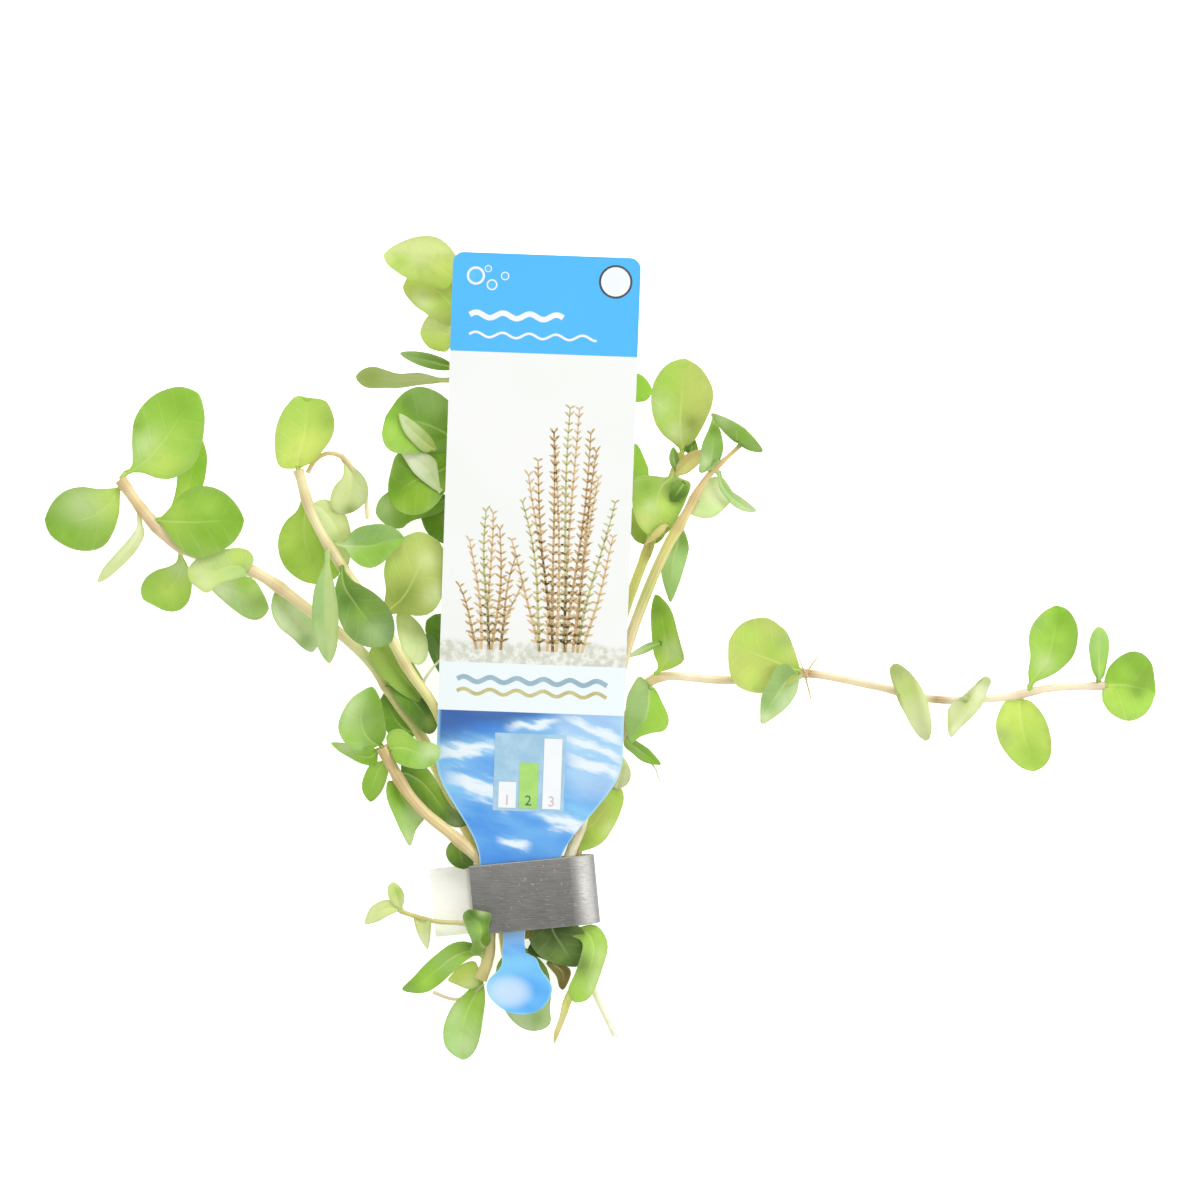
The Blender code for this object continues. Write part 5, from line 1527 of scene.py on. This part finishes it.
def strip():
    """The metal strip: a flat lower leg, a round turn and an upper leg, a little uneven, with marks for
    its painted highlights.
    """
    radius = (STRIP_HEIGHT - STRIP_THICK) / 2
    centre_u, centre_z = STRIP_RIGHT_SIDE - STRIP_HEIGHT / 2, STRIP_HEIGHT / 2
    line = []
    for i in range(16):
        line.append((STRIP_LOWER_END + (centre_u - STRIP_LOWER_END) * i / 16,
                     STRIP_THICK / 2, -math.pi / 2))
    for i in range(25):
        turn = math.pi * (i / 24 - 0.5)
        line.append((centre_u + radius * math.cos(turn), centre_z + radius * math.sin(turn), turn))
    for i in range(1, 17):
        line.append((centre_u + (STRIP_UPPER_END - centre_u) * i / 16,
                     STRIP_HEIGHT - STRIP_THICK / 2, math.pi / 2))
    turned = Matrix.Rotation(math.radians(STRIP_TURN), 3, "Z")
    bar = rounded_bar(STRIP_WIDTH, STRIP_THICK, STRIP_EDGE_ROUND)
    rings, band = [], []
    for i, (u, z, turn) in enumerate(line):
        ring = []
        for v, h in bar:
            uneven = 0.05 * noise.noise(Vector((i * 0.4, v * 0.3, 7)))
            h_real = h * (1 + uneven)
            ring.append(turned @ Vector((u + math.cos(turn) * h_real, v,
                                         z + math.sin(turn) * h_real)))
            # Marks of painted light: highlights along the long edges and around the round turn, and the
            # loose end painted white as if it caught the light.
            rim = smooth((abs(v) - STRIP_WIDTH / 2 + RIM_HIGHLIGHT) / RIM_HIGHLIGHT)
            tail_highlight = smooth((STRIP_UPPER_END + 0.6 - u) / 0.8) if turn < 0 else 0
            bend = math.exp(-((math.sin(turn) - BEND_GLINT) / 0.22) ** 2) if u > centre_u else 0
            band.append((tail_highlight, bend, rim))
        rings.append(ring)
    add_piece("metal_strip_band", *loft(rings), [metal_finish()], "strip_metal",
              ["metal_strip"], {"band": band})


def label_height(y):
    """How high the label's underside is: level in the strip, then rising towards its top."""
    share = max(0, y - LABEL_LIFT_FROM) / (LABEL_TOP - LABEL_LIFT_FROM)
    return LABEL_LOW + LABEL_RISE * share ** 1.25


def on_label(x, y, lift=0.0):
    """A point over the label's face from its own coordinates."""
    turned = Matrix.Rotation(math.radians(LABEL_TURN), 3, "Z")
    place = Vector((x, y, label_height(y) + LABEL_THICK + lift))
    return turned @ place + Vector((LABEL_AXIS_X, 0, 0))


def label_rows():
    """The label's outline from foot to top: place along it, left edge and right edge."""
    rows = [tuple(row) for row in smooth_line(PADDLE_SHAPE, 0.25)]
    for i in range(1, 4):
        rows.append((-9.4 + (TAPER_FOOT + 9.4) * i / 4,
                     NECK_OFFSET - NECK_HALF_WIDTH, NECK_OFFSET + NECK_HALF_WIDTH))
    bends = ((TAPER_FOOT, NECK_HALF_WIDTH), (TAPER_KNEE, KNEE_HALF_WIDTH),
             (TAPER_TOP, LABEL_HALF_WIDTH))
    for (foot, narrow), (top, broad) in zip(bends, bends[1:]):
        for i in range(20):
            place = foot + (top - foot) * i / 20
            half = narrow + (broad - narrow) * smooth(i / 20)
            middle = NECK_OFFSET * (TAPER_TOP - place) / (TAPER_TOP - TAPER_FOOT)
            rows.append((place, middle - half, middle + half))
    for i in range(41):
        place = TAPER_TOP + (LABEL_TOP - LABEL_CORNER - TAPER_TOP) * i / 40
        rows.append((place, -LABEL_HALF_WIDTH, LABEL_HALF_WIDTH))
    for i in range(1, 9):
        turn = math.pi / 2 * i / 8
        half = LABEL_HALF_WIDTH - LABEL_CORNER * (1 - math.cos(turn))
        rows.append((LABEL_TOP - LABEL_CORNER * (1 - math.sin(turn)), -half, half))
    return rows


def label():
    """The stick label with its printed face."""
    across = 8
    rings, spots, edges = [], [], []
    for y, left, right in label_rows():
        ring = []
        foot_edge = smooth((PADDLE_SHAPE[0][0] + 0.8 - y) / 0.8)
        for face, order in ((1, range(across + 1)), (0, range(across, -1, -1))):
            for k in order:
                x = left + (right - left) * k / across
                inset = 0.06 if k in (0, across) else 0
                x += inset if k == 0 else -inset
                ring.append(on_label(x, y, (face - 1) * LABEL_THICK))
                spots.append((x, y, 0.0))
                edge = 1 if k in (0, across) else foot_edge
                edges.append((edge, edge, edge))
        rings.append(ring)
    points, faces = loft(rings)
    slots = []
    sides = len(rings[0])
    for i in range(len(rings) - 1):
        slots += [0 if k < across else 1 for k in range(sides)]
    slots += [1, 1]
    add_piece("label_card", points, faces, [label_finish(), plastic_finish()], "label_plastic",
              ["label"], {"print": spots, "edge": edges}, slots)


def print_area(name, outline, ink, lift=INK_LIFT):
    """A thin printed shape on the label, from its outline in the label's own coordinates."""
    top = [on_label(x, y, lift) for x, y in outline]
    low = [on_label(x, y, lift - 0.01) for x, y in outline]
    add_piece(name, *loft([low, top]), [ink], "label_plastic")


def box_outline(left, foot, right, top):
    return [(left, foot), (right, foot), (right, top), (left, top)]


def disc_outline(x, y, radius, count=40):
    return [(x + radius * math.cos(math.tau * i / count),
             y + radius * math.sin(math.tau * i / count)) for i in range(count)]


def ribbon(points, widths):
    """Rings of a flat tapering stroke on the label."""
    rings = []
    for i, (x, y) in enumerate(points):
        before, after = points[max(i - 1, 0)], points[min(i + 1, len(points) - 1)]
        along = Vector((after[0] - before[0], after[1] - before[1])).normalized()
        half = widths[i] / 2
        dx, dy = -along.y * half, along.x * half
        rings.append([on_label(x + dx, y + dy, INK_LIFT), on_label(x - dx, y - dy, INK_LIFT),
                      on_label(x - dx, y - dy, INK_LIFT - 0.01),
                      on_label(x + dx, y + dy, INK_LIFT - 0.01)])
    return rings


def add_strokes(name, strokes, ink):
    """Many strokes as one printed piece."""
    points, faces = [], []
    for stroke in strokes:
        more, skin = loft(ribbon(*stroke))
        faces += [tuple(k + len(points) for k in face) for face in skin]
        points += more
    add_piece(name, points, faces, [ink], "label_plastic")


def sprig(draw, foot_x, height, lean, sway):
    """Strokes of one water plant: a bent stalk with pairs of small round-ended leaves."""
    strokes = []
    count = round(height / 1.35)
    stalk = []
    for i in range(count + 1):
        t = i / count
        x = foot_x + lean * t ** 1.3 + sway * math.sin(t * 4.4 + foot_x * 3)
        stalk.append((x, PLANT_FOOT + height * t))
    strokes.append((stalk, [0.5 - 0.3 * i / count for i in range(count + 1)]))
    for i in range(1, count + 1):
        x, y = stalk[i]
        long = (1.15 - 0.5 * i / count) * draw.uniform(0.75, 1.25)
        for hand in (-1, 1):
            rise = draw.uniform(0.3, 1.1)
            petal = [(x, y), (x + hand * long * 0.5, y + rise * 0.6),
                     (x + hand * long, y + rise)]
            strokes.append((petal, [0.16, 0.5 - 0.15 * i / count, 0.12]))
    return strokes


def prints():
    """The pictures and marks on the label."""
    brown = ink_finish("ink_brown", (214, 184, 132), (196, 160, 104))
    rust = ink_finish("ink_rust", (220, 188, 140), (228, 202, 156))
    olive = ink_finish("ink_olive", (212, 208, 150), (194, 186, 126))
    sky = ink_finish("ink_sky", (86, 194, 252), (96, 200, 254))
    grey_blue = ink_finish("ink_grey_blue", (150, 182, 196), (164, 194, 206))
    white = ink_finish("ink_white", (250, 252, 252), (243, 248, 250))
    dark = ink_finish("ink_dark", (62, 66, 74), (84, 88, 96))
    light_blue = ink_finish("ink_light_blue", (158, 200, 226), (178, 214, 234))
    green = ink_finish("ink_green", (166, 218, 108), (178, 226, 122))
    rose = ink_finish("ink_rose", (216, 192, 206), (226, 206, 216))
    fern = ink_finish("ink_fern", (64, 118, 74), (78, 132, 86))
    draw = random.Random("sprig")
    sprigs = {"brown": [], "rust": [], "olive": []}
    kinds = ("brown", "rust", "olive", "rust", "brown")
    for group, (middle, tallest, count) in enumerate(PLANT_GROUPS):
        for i in range(count):
            off = 2 * i / (count - 1) - 1
            height = tallest * (1 - 0.55 * abs(off) ** 1.4) * draw.uniform(0.85, 1.0)
            lean = off * tallest * 0.11 + draw.uniform(-0.8, 0.8)
            sway = draw.uniform(0.2, 0.6)
            kind = kinds[(i + group) % len(kinds)]
            sprigs[kind] += sprig(draw, middle + off * count * 0.28, height, lean, sway)
    inks = {"brown": brown, "rust": rust, "olive": olive}
    for kind, strokes in sprigs.items():
        add_strokes("print_plants_" + kind, strokes, inks[kind])
    print_area("print_disc_ring", disc_outline(11.4, 101.6, 2.75), dark)
    print_area("print_disc", disc_outline(11.4, 101.6, 2.4), white, INK_LIFT * 2)
    for i, (x, y, radius) in enumerate(BUBBLES, 1):
        print_area(f"print_bubble_rim_{i}", disc_outline(x, y, radius), white)
        print_area(f"print_bubble_{i}", disc_outline(x, y, radius * 0.74), sky, INK_LIFT * 2)
    waves = []
    for level, length, width in WAVE_LINES:
        count = 48
        line = [(WAVE_LEFT + length * i / count,
                 level + 0.42 * math.sin(i * math.tau * length / count / 4.4))
                for i in range(count + 1)]
        waves.append((line, [width] * (count + 1)))
    add_strokes("print_waves_white", waves[:2], white)
    add_strokes("print_wave_grey", waves[2:3], grey_blue)
    add_strokes("print_wave_straw", waves[3:], olive)
    print_area("print_chart_ground", box_outline(-5.8, 13.8, 6.0, 26.7), light_blue)
    bars = ((-4.9, -2.0, 18.6, white), (-1.5, 1.6, 21.9, green), (2.4, 5.4, 26.0, white))
    for number, (left, right, top, ink) in enumerate(bars, 1):
        print_area(f"print_bar_{number}", box_outline(left, 14.3, right, top), ink, INK_LIFT * 4)
        numeral(str(number), (left + right) / 2, 14.8, rose if number != 2 else fern)


def numeral(text, x, y, ink):
    """A printed numeral of the chart."""
    words = bpy.data.curves.new("numeral", "FONT")
    words.body = text
    words.size = 2.4
    words.align_x = "CENTER"
    holder = bpy.data.objects.new("numeral", words)
    bpy.context.collection.objects.link(holder)
    bpy.context.view_layer.update()
    flat = bpy.data.meshes.new_from_object(holder)
    bpy.data.objects.remove(holder)
    shape = bmesh.new()
    shape.from_mesh(flat)
    bmesh.ops.dissolve_limit(shape, angle_limit=0.01, verts=shape.verts, edges=shape.edges)
    points, faces = [], []
    shape.verts.ensure_lookup_table()
    for face in shape.faces:
        outline = [(v.co.x + x, v.co.y + y) for v in face.verts]
        top = [on_label(px, py, INK_LIFT * 6) for px, py in outline]
        low = [on_label(px, py, INK_LIFT * 6 - 0.01) for px, py in outline]
        more, skin = loft([low, top])
        faces += [tuple(k + len(points) for k in f) for f in skin]
        points += more
    shape.free()
    add_piece(f"print_numeral_{text}", points, faces, [ink], "label_plastic")


def area_light(name, place, aim, size, power):
    """A soft lamp that looks at a point."""
    lamp = bpy.data.lights.new(name, "AREA")
    lamp.shape = "RECTANGLE"
    lamp.size, lamp.size_y = size
    lamp.energy = power
    holder = bpy.data.objects.new(name, lamp)
    holder.location = place
    holder.rotation_euler = (Vector(aim) - Vector(place)).to_track_quat("-Z", "Y").to_euler()
    bpy.context.collection.objects.link(holder)


def studio():
    """A white light table, soft lamps and the camera that looks straight down."""
    bpy.ops.mesh.primitive_plane_add(size=8.0, location=(0, 0, 0))
    floor = bpy.context.object
    floor.name = "light_table"
    floor.data.materials.append(floor_finish())
    world = bpy.data.worlds.new("white_room")
    world.use_nodes = True
    world.node_tree.nodes["Background"].inputs["Color"].default_value = (1, 1, 1, 1)
    world.node_tree.nodes["Background"].inputs["Strength"].default_value = 0.8
    bpy.context.scene.world = world
    aim = (VIEW_CENTRE[0] * MM, VIEW_CENTRE[1] * MM, 0)
    area_light("softbox_top", (0.1, 1.1, 1.0), aim, (0.9, 0.6), 11)
    area_light("softbox_right", (1.0, 0.1, 0.72), aim, (0.25, 0.7), 7)
    bpy.context.scene.view_settings.view_transform = "Standard"
    camera = bpy.data.cameras.new("camera")
    camera.lens = LENS
    camera.sensor_width = SENSOR
    camera.clip_start, camera.clip_end = 0.05, 20
    holder = bpy.data.objects.new("camera", camera)
    holder.location = (aim[0], aim[1], CAMERA_HEIGHT * MM)
    bpy.context.collection.objects.link(holder)
    bpy.context.scene.camera = holder


strip()
label()
prints()
shoots()
studio()
